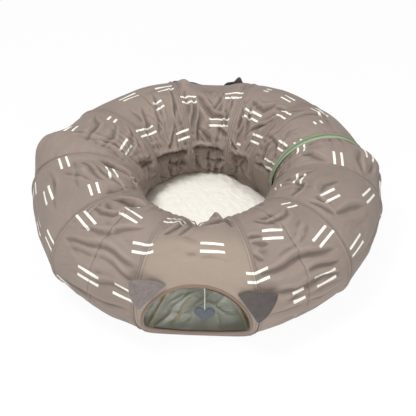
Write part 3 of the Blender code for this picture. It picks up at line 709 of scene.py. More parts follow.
RIGHT_FOLDS = (
    (9, 7, ((57, 60), (56, 74), (55, 90))),
    (9, 8, ((54, 108), (60, 104), (66, 106), (70, 118))),
    (8, 11, ((72, 38), (65, 52), (57, 62))),
    (7, 10, ((62, 84), (68, 82), (74, 72))),
    (6, 8, ((60, 70), (58, 78), (60, 88))),
    (7, 9, ((86, 50), (91, 58), (96, 54))),
    (8, 9, ((86, 90), (90, 104), (94, 118))),
    (6, 9, ((80, 100), (74, 112), (70, 126))),
    (5, 12, ((56, 6), (68, 2), (80, 6))),
    (5, 12, ((86, 24), (94, 20), (101, 26))),
)
REAR_FOLDS = (
    (11, 8, ((141, 92), (146, 106), (150, 106), (155, 100))),
    (10, 7, ((135, 104), (139, 123), (149, 140))),
    (8, 7, ((129, 146), (131, 134), (134, 110))),
    (7, 8, ((128, 84), (136, 96), (142, 100))),
    (15, 9, ((167, 128), (178, 126), (183, 113), (187, 96))),
    (10, 6, ((200, 78), (203, 106), (206, 130))),
    (11, 6, ((194, 90), (196, 118), (201, 146))),
    (10, 6, ((189, 100), (192, 130), (196, 156))),
    (10, 6, ((187, 112), (188, 142), (192, 160))),
    (10, 7, ((188, 142), (182, 152), (176, 164))),
    (10, 6, ((167, 100), (168, 120), (166, 146))),
    (11, 6, ((159, 100), (158, 124), (154, 150))),
    (10, 6, ((153, 106), (151, 128), (147, 152))),
    (17, 10, ((149, 168), (158, 160), (166, 149), (175, 138))),
    (16, 10, ((161, 168), (176, 170), (188, 165), (198, 171), (230, 165), (258, 157))),
    (9, 8, ((222, 178), (208, 190), (196, 194))),
    (9, 8, ((158, 182), (172, 190), (186, 186))),
    (9, 8, ((212, 84), (216, 112), (222, 136))),
    (9, 8, ((222, 96), (227, 122), (233, 144))),
    (7, 7, ((208, 132), (213, 150), (222, 158))),
    (8, 8, ((236, 106), (243, 128), (250, 148))),
    (6, 9, ((118, 60), (124, 84), (126, 108))),
    (9, 8, ((112, 152), (120, 136), (128, 130))),
    (10, 9, ((110, 174), (120, 168), (132, 172))),
    (8, 6, ((182, 170), (179, 194), (182, 218))),
    (7, 6, ((174, 168), (172, 192), (176, 220))),
    (9, 6, ((190, 168), (192, 194), (187, 218))),
    (9, 7, ((208, 168), (206, 192), (213, 218))),
    (8, 6, ((216, 166), (220, 192), (216, 218))),
    (9, 7, ((228, 164), (231, 190), (224, 216))),
    (7, 6, ((168, 170), (165, 190), (169, 216))),
    (8, 6, ((156, 172), (153, 194), (157, 216))),
    (8, 6, ((147, 172), (149, 194), (144, 216))),
    (9, 7, ((245, 158), (250, 178), (246, 206))),
    (8, 7, ((169, 204), (178, 212), (190, 201))),
    (8, 7, ((205, 198), (215, 209), (228, 200))),
)
RIDGES = (
    (-4, 6, ((260, 60), (260, 88), (259, 112), (262, 138))),
    (-5, 5, ((312, 66), (311, 84), (310, 100))),
)
FOLDS = LEFT_FOLDS + FRONT_FOLDS + RIGHT_FOLDS + REAR_FOLDS + RIDGES

# All folds' strength, how far they wander off their paths, and the heights of their
# valley and two lips as shares of their depth
FOLD_STRENGTH = 1.2
FOLD_WANDER = 2.4 * MM
FOLD_VALLEY = 0.8
FOLD_STEEP_LIP = 0.66
FOLD_LOW_LIP = 0.24
FAR_AWAY = 9.0

# Degrees past a bay's ends within which a fold's path still reaches its cloth
FOLD_MARGIN = 12

# A bay's own folds: how many run along the tube on its outer side and round it inside
OWN_OUTER_FOLDS = 6
OWN_INNER_FOLDS = 9

# Broad dents, or bulges where the depth is negative, each as depth in millimetres, (ring
# angle, turn) and half sizes in millimetres along and round the tube
DENTS = (
    (44, (357.5, 122), (24, 50)),
    (40, (15.5, 122), (9, 38)),
    (-13, (9, 124), (11, 34)),
    (14, (95, 170), (24, 40)),
    (-17, (95, 34), (32, 62)),
    (12, (279, 118), (34, 26)),
    (19, (319, 107), (26, 22)),
    (-7, (322, 88), (30, 18)),
    (13, (32, 96), (24, 18)),
    (7, (24, 66), (14, 20)),
    (8, (178, 112), (22, 26)),
    (44, (180, 68), (54, 64)),
    (-17, (193, 76), (22, 28)),
    (-7, (166, 80), (16, 30)),
    (-38, (261, 36), (62, 62)),
    (9, (279, 84), (20, 60)),
    (8, (304, 106), (16, 44)),
    (9, (66, 104), (30, 26)),
    (8, (228, 120), (40, 40)),
    (9, (144, 116), (30, 30)),
)

# Bays with a seam round the tube at their middle, by their first station
SEAMED_BAYS = (18, 309, 198)

# The lower edge of the rear cloth: its turn at ring angles, its lip and the step below it
OVERHANG_ANGLES = (128, 137, 154, 163, 175, 188, 205, 221, 235, 256, 264)
OVERHANG_TURNS = (174, 170, 168, 166, 164, 164, 164, 162, 158, 146, 138)
OVERHANG_LIP = 5.0 * MM
OVERHANG_DEPTH = 15.0 * MM

# How far a bay swells between its hoops outside, and sags inside
PUFF = 13.0 * MM
INNER_SAG = 6.0 * MM

# Pleats beside a hoop: where they begin, how fast they die away and where they end
PLEAT_START = (6 * MM, 14 * MM)
PLEAT_REACH = 17 * MM
PLEAT_END = 60 * MM

# Ruffles beside the zip: the step's place and half width, the ruffles' start and reach,
# the turns between which both begin, and the heights of ruffles and step by whether the
# bay lies in front of the zip
ZIP_STEP = (18 * MM, 9 * MM)
ZIP_STEP_TURNS = (10, 50)
ZIP_RUFFLE_START = (11 * MM, 17 * MM)
ZIP_RUFFLE_REACH = 26 * MM
ZIP_RUFFLE_TURNS = (20, 60)
ZIP_RUFFLES = {True: (3.6 * MM, 6.0 * MM), False: (1.2 * MM, 1.5 * MM)}

# Distances from a hoop between which it lets go of the cloth's folds and of the overhang.
# The zip holds them too, and hides the casing beside it
HOOP_HOLD = (3 * MM, 22 * MM)
OVERHANG_HOLD = (7 * MM, 24 * MM)
ZIP_HOLD = (9 * MM, 24 * MM)
CASING_SHOWN = (30 * MM, 40 * MM)

# Heights between which the cloth comes free of the floor, for folds and for the swell
FLOOR_HOLD = (0.010, 0.050)
SWELL_HOLD = (-0.012, 0.030)

# Waves of the lining on the floor: their two heights, and where they end
LINING_CRESTS = (5.0 * MM, 3.4 * MM)
LINING_TOP = (0.004, 0.030)
LINING_HOLD = (8 * MM, 26 * MM)

# The seam at a bay's middle, then a hoop's casing, bead and row of stitches
SEAM_DIP = 1.8 * MM
SEAM_DIP_HALF_WIDTH = 1.5 * MM
CASING_RISE = 1.6 * MM
BEAD_RISE = 2.2 * MM
BEAD_HALF_WIDTH = 2.8 * MM
STITCH_DIP = 0.9 * MM
STITCH_DIP_HALF_WIDTH = 0.8 * MM

# Low creases, each row as a count of waves, their shortest and longest length in metres
# and their least and greatest height in millimetres
CRUMPLE_WAVES = ((9, 0.06, 0.15, 0.35, 0.85), (8, 0.026, 0.055, 0.07, 0.18))
CRUMPLE_SEED = 7


def ring_offset(angle, origin):
    """The angle past origin, from -180 to 180."""
    return (angle - origin + 180) % 360 - 180


def fold(angle, turn, depth, width, path):
    """A valley along a path, with a high sharp lip on its right and a low one on its left.

    The valley and the lips are bell curves of the signed distance to the path, the
    sharp ones with a power below two. A half sine along the path fades and narrows the
    ends, and the coordinates are bent a little, as folded cloth is never quite even.
    """
    scale = degree_length(np.mean([point[1] for point in path]))
    x = ring_offset(angle, path[0][0]) * scale
    y = turn * TURN_RISE
    x, y = (
        x + FOLD_WANDER * np.sin(y * 66 + angle * 0.2),
        y + FOLD_WANDER * np.sin(x * 58 + turn * 0.1),
    )
    knots = [(ring_offset(a, path[0][0]) * scale, t * TURN_RISE) for a, t in path]
    lengths = [math.dist(p, q) for p, q in zip(knots, knots[1:])]
    nearest = np.full(x.shape, FAR_AWAY)
    way = np.zeros(x.shape)
    side = np.zeros(x.shape)
    passed = 0.0
    for (x0, y0), (x1, y1), length in zip(knots, knots[1:], lengths):
        dx, dy = (x1 - x0) / length, (y1 - y0) / length
        t = np.clip((x - x0) * dx + (y - y0) * dy, 0, length)
        away = np.hypot(x - x0 - t * dx, y - y0 - t * dy)
        closer = away < nearest
        nearest = np.where(closer, away, nearest)
        way = np.where(closer, passed + t, way)
        side = np.where(closer, np.sign((x - x0) * dy - (y - y0) * dx), side)
        passed += length
    fade = np.sin(math.pi * np.clip(way / passed, 0, 1)) ** 0.7
    signed = nearest * side / (width * (0.42 + 0.72 * fade))
    valley = FOLD_VALLEY * np.exp(-(np.abs(signed) ** 1.35))
    steep = FOLD_STEEP_LIP * np.exp(-(np.abs(signed - 1.05) ** 1.5) / 0.5)
    low = FOLD_LOW_LIP * np.exp(-((signed + 1.9) ** 2))
    return depth * fade * (steep + low - valley)


def dent(angle, turn, depth, middle, half_sizes):
    """A broad dent: a bell curve of the distance to its middle."""
    x = ring_offset(angle, middle[0]) * degree_length(middle[1]) / (half_sizes[0] * MM)
    y = (turn - middle[1]) * TURN_RISE / (half_sizes[1] * MM)
    return -depth * MM * np.exp(-(x**2) - y**2)


def overhang(angle, turn):
    """The rear cloth's lower edge: a round lip, and below it a steep step back."""
    level = angle % 360
    below = turn - np.interp(level, OVERHANG_ANGLES, OVERHANG_TURNS)
    below = below + 1.2 * np.sin(np.radians(level) * 23) + 0.7 * np.sin(np.radians(level) * 51)
    lip = OVERHANG_LIP * np.exp(-(((below + 3.0) / 3.5) ** 2))
    step = OVERHANG_DEPTH * smooth(-0.5, 5.0, below) * (1 - 0.75 * smooth(6.0, 44.0, below))
    ends = smooth(OVERHANG_ANGLES[0], OVERHANG_ANGLES[1] + 8, level)
    ends = ends * (1 - smooth(OVERHANG_ANGLES[-2] - 6, OVERHANG_ANGLES[-1], level))
    return (lip - step) * ends


def own_folds(first, last):
    """A bay's further small folds, drawn at random from its own seed.

    Most run along the tube on its outer side, and the rest round it on its inner side.
    """
    draw = np.random.default_rng(first)
    folds = []
    for _ in range(OWN_OUTER_FOLDS):
        start = draw.uniform(first, first + 0.3 * (last - first))
        end = start + draw.uniform(0.4, 0.7) * (last - first)
        turn = draw.uniform(-34, 88)
        bend = draw.uniform(-11, 11)
        middle = ((start + end) / 2, turn + draw.uniform(-4, 4))
        path = ((start, turn - bend), middle, (end, turn + bend))
        folds.append((draw.uniform(1.0, 2.6), draw.uniform(6, 12), path))
    for _ in range(OWN_INNER_FOLDS):
        angle = draw.uniform(first + 2, last - 2)
        turn = draw.uniform(88, 136)
        reach = draw.uniform(36, 78)
        drift = draw.uniform(-7, 7)
        middle = (angle + drift / 2, turn + reach / 2)
        path = ((angle, turn), middle, (angle + drift, turn + reach))
        if draw.random() < 0.5:
            path = path[::-1]
        folds.append((draw.uniform(2.4, 6.0), draw.uniform(4.0, 7.5), path))
    return folds


def crumple(angle, turn):
    """Low creases everywhere: two scales of folded sine waves across bent coordinates."""
    draw = np.random.default_rng(CRUMPLE_SEED)
    x = ring_offset(angle, 0) * degree_length(turn)
    y = turn * TURN_RISE
    bent_x = x + 0.012 * np.sin(y * 31 + 1.0) + 0.007 * np.sin(x * 57 + y * 23)
    bent_y = y + 0.010 * np.sin(x * 37 + 2.0) + 0.006 * np.sin(y * 71 - x * 19)
    total = np.zeros(x.shape)
    for count, shortest, longest, least, most in CRUMPLE_WAVES:
        for _ in range(count):
            way = draw.uniform(0, math.pi)
            wave = math.tau / draw.uniform(shortest, longest)
            phase = draw.uniform(0, math.tau)
            along = math.cos(way) * bent_x * 0.8 + math.sin(way) * bent_y * 1.2
            total += (0.64 - np.abs(np.sin(along * wave / 2 + phase))) * draw.uniform(least, most)
    return total * MM


def gathers(turn, near, inner, seed):
    """Small pleats that leave a hoop's stitching and die away: a sine of a bent turn."""
    t = np.radians(turn)
    pleats = np.sin(t * 33 + 2.2 * np.sin(t * 6 + seed) + 1.3 * np.sin(t * 13 + seed * 2))
    patches = 0.55 + 0.45 * np.sin(t * 4 + seed * 3)
    reach = np.exp(-near / PLEAT_REACH) * smooth(*PLEAT_START, near)
    return (1.3 + 3.4 * inner) * MM * pleats * patches * reach


def zip_ruffles(turn, to_zip, in_front):
    """The cloth beside the zip: a step down from its tape, then ruffles round the tube."""
    t = np.radians(turn)
    ruffle = np.sin(t * 19 + np.sin(t * 5) * 2) + 0.6 * np.sin(t * 41 + np.sin(t * 9) * 3)
    amount, drop = ZIP_RUFFLES[in_front]
    place, half = ZIP_STEP
    below = drop * np.exp(-(((to_zip - place) / half) ** 2)) * smooth(*ZIP_STEP_TURNS, turn)
    reach = np.exp(-to_zip / ZIP_RUFFLE_REACH) * smooth(*ZIP_RUFFLE_START, to_zip)
    return amount * ruffle * reach * smooth(*ZIP_RUFFLE_TURNS, turn) - below


def relief(first, last, share, turn, length):
    """How far the cloth stands off the tube's plain shape, in metres."""
    angle = first + (last - first) * share
    near = np.minimum(share, 1 - share) * length
    inner = np.clip(-np.cos(np.radians(turn)), 0, 1)
    height = tube_height(turn)
    free = smooth(*FLOOR_HOLD, height)
    off = crumple(angle, turn) * (1 + 0.9 * inner)
    reach = (last - first) / 2 + FOLD_MARGIN
    for depth, width, path in (*FOLDS, *own_folds(first, last)):
        angles = [ring_offset(point[0], (first + last) / 2) for point in path]
        if min(angles) < reach and max(angles) > -reach:
            off = off + fold(angle, turn, FOLD_STRENGTH * depth * MM, width * MM, path)
    for row in DENTS:
        off = off + dent(angle, turn, *row)
    if first % 360 in SEAMED_BAYS:
        beside = np.abs(share - 0.5) * length
        off = off - SEAM_DIP * np.exp(-((beside / SEAM_DIP_HALF_WIDTH) ** 2))
    off = off * smooth(*HOOP_HOLD, near) * free
    off = off + overhang(angle, turn) * smooth(*OVERHANG_HOLD, near) * free
    shown = free
    if ZIP_STATION in (first, last):
        to_zip = (share if first == ZIP_STATION else 1 - share) * length
        off = off * smooth(*ZIP_HOLD, to_zip)
        off = off + zip_ruffles(turn, to_zip, last == ZIP_STATION)
        shown = free * smooth(*CASING_SHOWN, to_zip)
    swell = 4 * share * (1 - share) * (PUFF * (1 - inner) - INNER_SAG * inner)
    off = off + swell * smooth(*SWELL_HOLD, height)
    off = off + gathers(turn, near, inner, first) * free * (near < PLEAT_END)
    casing = CASING_RISE * (1 - smooth(CASING_HALF_WIDTH - MM, CASING_HALF_WIDTH + MM, near))
    bead = BEAD_RISE * np.exp(-((near / BEAD_HALF_WIDTH) ** 2))
    stitch_line = STITCH_DIP * np.exp(-(((near - CASING_STITCH) / STITCH_DIP_HALF_WIDTH) ** 2))
    return off + (casing + bead - stitch_line) * shown


def lining_waves(angle, turn, near):
    """The lining lies loose on the floor: soft crests where two bent sines pass nought."""
    t = np.radians(turn)
    a = np.radians(angle)
    first = np.abs(np.sin(a * 15 + 1.7 * np.sin(t * 4 + a * 3) + 0.6 * np.sin(t * 11)))
    second = np.abs(np.sin(t * 9 + 1.4 * np.sin(a * 9 + 1.0) + 0.5 * np.sin(a * 25)))
    crests = (1 - first) ** 2 * LINING_CRESTS[0] + (1 - second) ** 2 * LINING_CRESTS[1]
    below = 1 - smooth(*LINING_TOP, tube_height(turn))
    return crests * below * smooth(*LINING_HOLD, near)


# Columns of a bay's grid, as distances from a hoop and from its middle seam
NEAR_COLUMNS = np.array([0, 2.2, 4.2, 5.6, 6.2, 6.6, 7.0, 7.6, 8.4, 10.0, 12.5]) * MM
SEAM_COLUMNS = np.array([-3.2, -1.6, -0.8, 0, 0.8, 1.6, 3.2]) * MM
FREE_COLUMNS = 82
ROUND_ROWS = 300
SEAM_HALF_WIDTH = 4 * MM
SEAM_CLEARING = 0.06
# How far the cloth must sink, or stand up, for full painted shade in a crease or full painted
# highlight on a ridge
PAINTED_SHADING_DEPTH = 2.0 * MM
TINY = 1e-9


def sunk(off):
    """How far each point lies below a mean of the points round it."""
    mean = off
    for step in (1, 2, 3):
        wide = np.pad(mean, ((step, step), (step, step)), mode="edge")
        rows, columns = mean.shape
        sides = [wide[2 * step :, step : step + columns], wide[:rows, step : step + columns]]
        sides += [wide[step : step + rows, 2 * step :], wide[step : step + rows, :columns]]
        mean = (mean + sum(sides)) / 5
    return mean - off


def bay_columns(length, seamed):
    """Shares of the way along, close together where the stitching is."""
    near = NEAR_COLUMNS[None, :] / length[:, None]
    begin = near[:, -1:]
    free = begin + (1 - 2 * begin) * np.linspace(0, 1, FREE_COLUMNS + 2)[None, 1:-1]
    if seamed:
        middle = 0.5 + SEAM_COLUMNS[None, :] / length[:, None]
        keep = np.abs(np.linspace(0, 1, FREE_COLUMNS + 2)[1:-1] - 0.5) > SEAM_CLEARING
        free = np.hstack([free[:, keep], middle])
        free.sort(axis=1)
    return np.hstack([near, free, 1 - near[:, ::-1]])


# The print: the spacing of pairs along a row, how close two may come along and round the
# tube, both in metres, the turns of the rows, the cosine of a place's slant to the camera
# above which it is seen, and how much longer than wide a pair's field is. Then the seen
# pairs' places: ring angle, turn, share of a dash's length and degrees off the tube
PAIR_PITCH = 0.15
PAIR_CLEARANCE = (0.075, 0.045)
PAIR_TURNS = range(-36, 216, 30)
SEEN_COSINE = -0.12
PAIR_STRETCH = 1.6
SEEN_PAIRS = (
    (204, 80, 1.0, 0), (222, 74, 1.0, 0), (213, 104, 0.5, 0), (242, 94, 0.4, 0),
    (231, 128, 1.0, 0), (193, 106, 0.8, 0), (203, 148, 0.7, 0), (257, 124, 1.0, 0),
    (255, 60, 0.6, 0), (277, 68, 0.85, 0), (279, 20, 1.0, 0), (288, 112, 0.9, 0),
    (290, 42, 1.0, 0), (301, 88, 0.65, 0), (314, 64, 1.15, -16), (328, 88, 1.0, 0),
    (323, 110, 0.5, 0), (347, 108, 0.9, 0), (293, 10, 1.0, 0), (305, 22, 1.0, 0),
    (173, 134, 1.0, 0), (180, 84, 0.5, 0), (167, 98, 0.9, 8), (152, 76, 0.3, 0),
    (141, 76, 0.6, 0), (133, 102, 0.7, 0), (124, 66, 1.1, 0), (114, 84, 0.25, 0),
    (151, 118, 1.0, 0), (138, 142, 0.6, 0), (114, 134, 0.6, 0), (152, 160, 0.2, 0),
    (115, 162, 0.7, 0), (102, 118, 0.9, 0), (88, 80, 0.7, 0), (96, 44, 0.8, 0),
    (72, 112, 0.7, 0), (69, 136, 0.4, 0), (63, 74, 0.9, -24), (77, 40, 1.1, -14),
    (47, 100, 0.5, 0), (29, 74, 0.9, -24), (46, 54, 1.2, 20), (57, 24, 1.1, 0),
    (88, 14, 1.0, 0), (340, 66, 0.95, 20), (5, 70, 1.0, 0), (19, 44, 1.0, 0),
    (325, 18, 1.2, 0), (338, 20, 1.0, 0), (314, -18, 1.2, 0), (41, 16, 1.1, 0),
    (31, 11, 0.6, 0), (30, -26, 0.6, 0),
)  # fmt: skip


def pair_places():
    """The seen pairs, and an even brick pattern of pairs where the photograph sees none."""
    places = list(SEEN_PAIRS)
    for row, turn in enumerate(PAIR_TURNS):
        count = round(360 * float(degree_length(turn)) / PAIR_PITCH)
        for k in range(count):
            angle = (k + 0.5 * (row % 2) + 0.17 * math.sin(row * 7 + k * 3)) * 360 / count
            if not seen(angle, turn) and all(clear_of(angle, turn, place) for place in places):
                places.append((angle % 360, turn, 1.0, 0))
    return places


def clear_of(angle, turn, place):
    """Whether a pair there keeps its distance from the pair at a place."""
    along, across = pair_gap(angle, turn, place)
    return abs(along) / PAIR_CLEARANCE[0] + abs(across) / PAIR_CLEARANCE[1] > 1.0


def seen(angle, turn):
    """Whether the cloth there faces the photograph's camera, or nearly."""
    a = math.radians(turn)
    level = heading(angle)
    point = level * (RING_RADIUS + HALF_WIDTH * math.cos(a))
    point[2] = tube_height(turn)
    normal = level * math.cos(a)
    normal[2] = math.sin(a)
    return float(normal @ unit(camera_place() - point)) > SEEN_COSINE


def pair_gap(angle, turn, place):
    """Distances along and round the tube from a pair's middle, in metres."""
    a = math.radians(place[1])
    rise = math.hypot(HALF_WIDTH * math.sin(a), HALF_HEIGHT * math.cos(a))
    along = ring_offset(angle, place[0]) * degree_length(place[1])
    return along, (turn - place[1]) * math.radians(rise)


def print_map(angle, turn, faces, places):
    """Each face's corners, as offsets from the pair that is nearest to the face."""
    a, t = angle.ravel()[faces], turn.ravel()[faces]
    middle_a = a[:, 0] + ring_offset(a, a[:, :1]).mean(axis=1)
    middle_t = t.mean(axis=1)
    best = np.full(len(faces), FAR_AWAY)
    u = np.full(a.shape, 1.0)
    v = np.full(a.shape, 1.0)
    for place in places:
        along, across = pair_gap(middle_a, middle_t, place)
        gap = np.hypot(along / PAIR_STRETCH, across)
        closer = gap < best
        best = np.where(closer, gap, best)
        near_u, near_v = pair_gap(a, t, place)
        spin = math.radians(place[3])
        spun_u = near_u * math.cos(spin) + near_v * math.sin(spin)
        spun_v = near_v * math.cos(spin) - near_u * math.sin(spin)
        u = np.where(closer[:, None], spun_u / place[2], u)
        v = np.where(closer[:, None], spun_v, v)
    return np.stack([u.ravel(), v.ravel()], axis=-1)


# Entrances
ENTRANCE_HALF_WIDTH = 0.130
ENTRANCE_WIDEST_HEIGHT = 0.086
ENTRANCE_RISE = 0.111
ENTRANCE_DROP = 0.064
UPPER_POWER = 2.2
LOWER_POWER = 2.7
RIM_RADIUS = 4.0 * MM
RIM_SECTION_POWER = 0.8
RIM_FLATNESS = 0.85
OUTLINE_STEPS = 4001
RIM_STEPS = 300
RIM_STITCHES = 90
RIM_STITCH_PLACE = 1.9 * MM
RIM_GROOVE = 0.5 * MM
RIM_PUCKER = 0.22 * MM
RIM_PUCKER_HALF_WIDTH = 1.2 * MM

# The cloth's edge lies this far outside the entrance's outline, and only turns below this
# one belong to the opening. Its rim holds the cloth flat, as far as these outlines
OPENING_MARGIN = 2.5 * MM
OPENING_TURN = 75
OPENING_CORE = 0.05
CALM_OUTLINES = (1.04, 1.45)

# The stations of the front panel, which faces -1, and of the rear one, which faces 1
PANEL_STATIONS = {-1: (342, 378), 1: (162, 198)}


def entrance_radius(sideways, height, spread):
    """One on the entrance's outline, less inside it: a superellipse of two halves."""
    upper = height >= ENTRANCE_WIDEST_HEIGHT
    power = np.where(upper, UPPER_POWER, LOWER_POWER)
    reach = np.where(upper, ENTRANCE_RISE, ENTRANCE_DROP) + spread
    x = np.abs(sideways) / (ENTRANCE_HALF_WIDTH + spread)
    y = np.abs(height - ENTRANCE_WIDEST_HEIGHT) / reach
    return (x**power + y**power) ** (1 / power)


def entrance_point(a, spread):
    """Sideways and height of the outline's points, at turns round it in radians."""
    upper = np.sin(a) >= 0
    power = 2 / np.where(upper, UPPER_POWER, LOWER_POWER)
    reach = np.where(upper, ENTRANCE_RISE, ENTRANCE_DROP) + spread
    x = signed_power(np.cos(a), power) * (ENTRANCE_HALF_WIDTH + spread)
    return x, ENTRANCE_WIDEST_HEIGHT + signed_power(np.sin(a), power) * reach


def entrance_outline(steps, spread=0.0):
    """The outline as sideways and height arrays, with points at even distances."""
    x, z = entrance_point(np.linspace(0, math.tau, OUTLINE_STEPS), spread)
    run = np.concatenate([[0], np.cumsum(np.hypot(np.diff(x), np.diff(z)))])
    at = np.linspace(0, run[-1], steps, endpoint=False)
    return np.interp(at, run, x), np.interp(at, run, z)


def panel_length(turn):
    """The straight distance between a panel's hoops, at a turn of the tube."""
    radius = RING_RADIUS + HALF_WIDTH * np.cos(np.radians(turn))
    return 2 * radius * math.sin(math.radians(PANEL_HALF_SPAN))


def panel_view(share, turn):
    """Sideways and height of a point on a panel, as panel_coordinates takes them."""
    return (share - 0.5) * panel_length(turn), tube_height(turn)


def panel_coordinates(sideways, height):
    """The share and turn of a point on a panel's outer side, from where it is seen."""
    turn = np.degrees(np.arcsin(np.clip((height - CENTRE_HEIGHT) / HALF_HEIGHT, -1, 1)))
    return 0.5 + sideways / panel_length(turn), turn


def on_panel(facing, sideways, height, inset):
    """Points on the front or rear panel's wall, at an inset from its outer face."""
    share, turn = panel_coordinates(-facing * sideways, height)
    return tube_point(*PANEL_STATIONS[facing], share, turn, inset)


def entrance_calm(share, turn):
    """Nought at the entrance, whose binding keeps the cloth flat, and one far from it."""
    value = entrance_radius(*panel_view(share, turn), 0.0)
    return np.where(np.cos(np.radians(turn)) > 0, smooth(*CALM_OUTLINES, value), 1.0)


def open_panel(share, turn, faces):
    """Drops the faces inside the entrance and moves the points left inside to its edge."""
    sideways, height = panel_view(share, turn)
    value = entrance_radius(sideways, height, OPENING_MARGIN)
    inside = (value < 1) & (np.abs(turn) < OPENING_TURN)
    kept = faces[~inside.ravel()[faces].all(axis=1)]
    moving = inside & (value > OPENING_CORE)
    grow = np.where(moving, 1 / np.maximum(value, OPENING_CORE), 1)
    moved = ENTRANCE_WIDEST_HEIGHT + (height - ENTRANCE_WIDEST_HEIGHT) * grow
    new_share, new_turn = panel_coordinates(sideways * grow, moved)
    return np.where(inside, new_share, share), np.where(inside, new_turn, turn), kept


def boundary_of(faces):
    """Edges that only one face uses, in that face's direction."""
    edges = np.concatenate([np.stack([faces[:, i], faces[:, (i + 1) % 4]], -1) for i in range(4)])
    ordered = np.sort(edges, axis=1)
    _, inverse, counts = np.unique(ordered, axis=0, return_inverse=True, return_counts=True)
    return edges[counts[inverse.ravel()] == 1]


def bay(name, first, last, finishes, part=(0.0, 1.0), opened=False, panel=False):
    """A bay's cloth: its outer face, its lining a wall deeper, and hems that join them."""
    rows = np.linspace(-90, 270, ROUND_ROWS + 1)
    length = np.linalg.norm(station_point(last, rows) - station_point(first, rows), axis=-1)
    share = bay_columns(length, first % 360 in SEAMED_BAYS)
    share = share[:, (share[0] >= part[0] - TINY) & (share[0] <= part[1] + TINY)]
    turn = np.broadcast_to(rows[:, None], share.shape).copy()
    faces = grid_faces(*share.shape)
    if opened:
        share, turn, faces = open_panel(share, turn, faces)
    lengths = np.broadcast_to(length[:, None], share.shape)
    angle = first + (last - first) * share
    off = relief(first, last, share, turn, lengths)
    if opened:
        off = off * entrance_calm(share, turn)
    near = np.minimum(share, 1 - share) * lengths
    outer = tube_point(first, last, share, turn, 0.0, off)
    inner = tube_point(first, last, share, turn, WALL, off)
    inner[..., 2] += lining_waves(angle, turn, near)

    def at_corners(u, v):
        return np.stack([u.ravel()[faces].ravel(), v.ravel()[faces].ravel()], axis=-1)

    if first % 360 in SEAMED_BAYS:
        beside = np.abs(share - 0.5) * lengths
        near = np.where(beside < SEAM_HALF_WIDTH, beside + CASING_STITCH, near)
    run = turn * TURN_RISE
    # How far each point sinks below its surroundings, or stands above them, which sets painted shade
    # in creases and painted highlight on ridges
    below = sunk(off) / PAINTED_SHADING_DEPTH
    plain = at_corners(angle * math.radians(RING_RADIUS), run)
    seam = at_corners(near, run)
    painted_relief_shading = at_corners(np.clip(below, 0, 1), np.clip(-below, 0, 1))
    dashes = print_map(angle, turn, faces, PLACES)

    # The last row lies on the first. The lining's points and faces follow the outer ones
    closing = share.size - share.shape[1]
    welded = np.where(faces >= closing, faces - closing, faces)
    used, outside = np.unique(welded, return_inverse=True)
    outside = outside.reshape(-1, 4)
    lining_faces = outside + len(used)
    hem = boundary_of(outside)
    edge = np.concatenate([hem[:, ::-1] + len(used), hem], axis=1)
    points = np.concatenate([outer.reshape(-1, 3)[used], inner.reshape(-1, 3)[used]])
    nought = np.zeros((len(edge) * 4, 2))
    maps = {
        "cloth": np.concatenate([turned_round(plain), plain, nought]),
        "print": np.concatenate([turned_round(dashes), dashes * 0 + 1, nought + 1]),
        "seam": np.concatenate([turned_round(seam), seam, nought + 1]),
        "painted_relief_shading": np.concatenate([turned_round(painted_relief_shading), painted_relief_shading, nought]),
    }
    slots = np.repeat([0, 1, 0], [len(outside), len(outside), len(edge)])
    skins = [finishes["panel" if panel else "cloth"], finishes["lining"]]
    faces_out = np.concatenate([outside[:, ::-1], lining_faces, edge])
    return mesh_object(name, points, [faces_out], skins, maps, slots)


PLACES = pair_places()

# Each bay's cloth: its name, first station, the hoop where its two bodies meet, those
# bodies, and its node
BLENDED = (
    ("right_cloth_1", 18, 18, "front_section", "right_section_1", "right_bay_1"),
    ("right_cloth_2", 51, 51, "right_section_1", "right_section_2", "right_bay_2"),
    ("right_cloth_3", 83, 83, "right_section_2", "right_section_3", "right_bay_3"),
    ("rear_cloth_2", 104, 134, "rear_section_1", "rear_section_2", "rear_bay_2"),
    ("rear_cloth_1", 134, 162, "rear_section", "rear_section_1", "rear_bay_1"),
    ("left_cloth_3", 237, 273, "left_section_2", "left_section_3", "left_bay_3"),
    ("left_cloth_2", 273, 309, "left_section_1", "left_section_2", "left_bay_2"),
    ("left_cloth_1", 309, 342, "front_section", "left_section_1", "left_bay_1"),
)


def blend_from(thing):
    """Bakes the cloth's transform into its points.
    """
    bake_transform(thing)


def cloth_bays(finishes):
    """Eight bays, two panels and a fourth left bay in two pieces."""
    for name, first, hinge, parent, child, node in BLENDED:
        last = STATIONS[STATIONS.index(first) + 1]
        thing = bay(name, first, last, finishes)
        blend_from(thing)
        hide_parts(node)
    for name, facing, body, node in (
        ("front_panel_cloth", -1, "front_section", "front_panel"),
        ("rear_panel_cloth", 1, "rear_section", "rear_panel"),
    ):
        thing = bay(name, *PANEL_STATIONS[facing], finishes, opened=True, panel=facing < 0)
        finish_piece(thing, body, "cloth", node)

    # The fourth left bay is two pieces that meet at its seam
    first, last = 198, 237
    near = bay("left_cloth_4_front", first, last, finishes, part=(0.5, 1.0))
    blend_from(near)
    far = bay("left_cloth_4_rear", first, last, finishes, part=(0.0, 0.5))
    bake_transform(far)
    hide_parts("left_bay_4")


# Strips and tubes carried along a path


def carried(path, side, up, profile):
    """Points of a closed profile of (side, up) pairs at every point of a path."""
    profile = np.asarray(profile, float)
    across = side[:, None, :] * profile[None, :, :1]
    return path[:, None, :] + across + up[:, None, :] * profile[None, :, 1:]


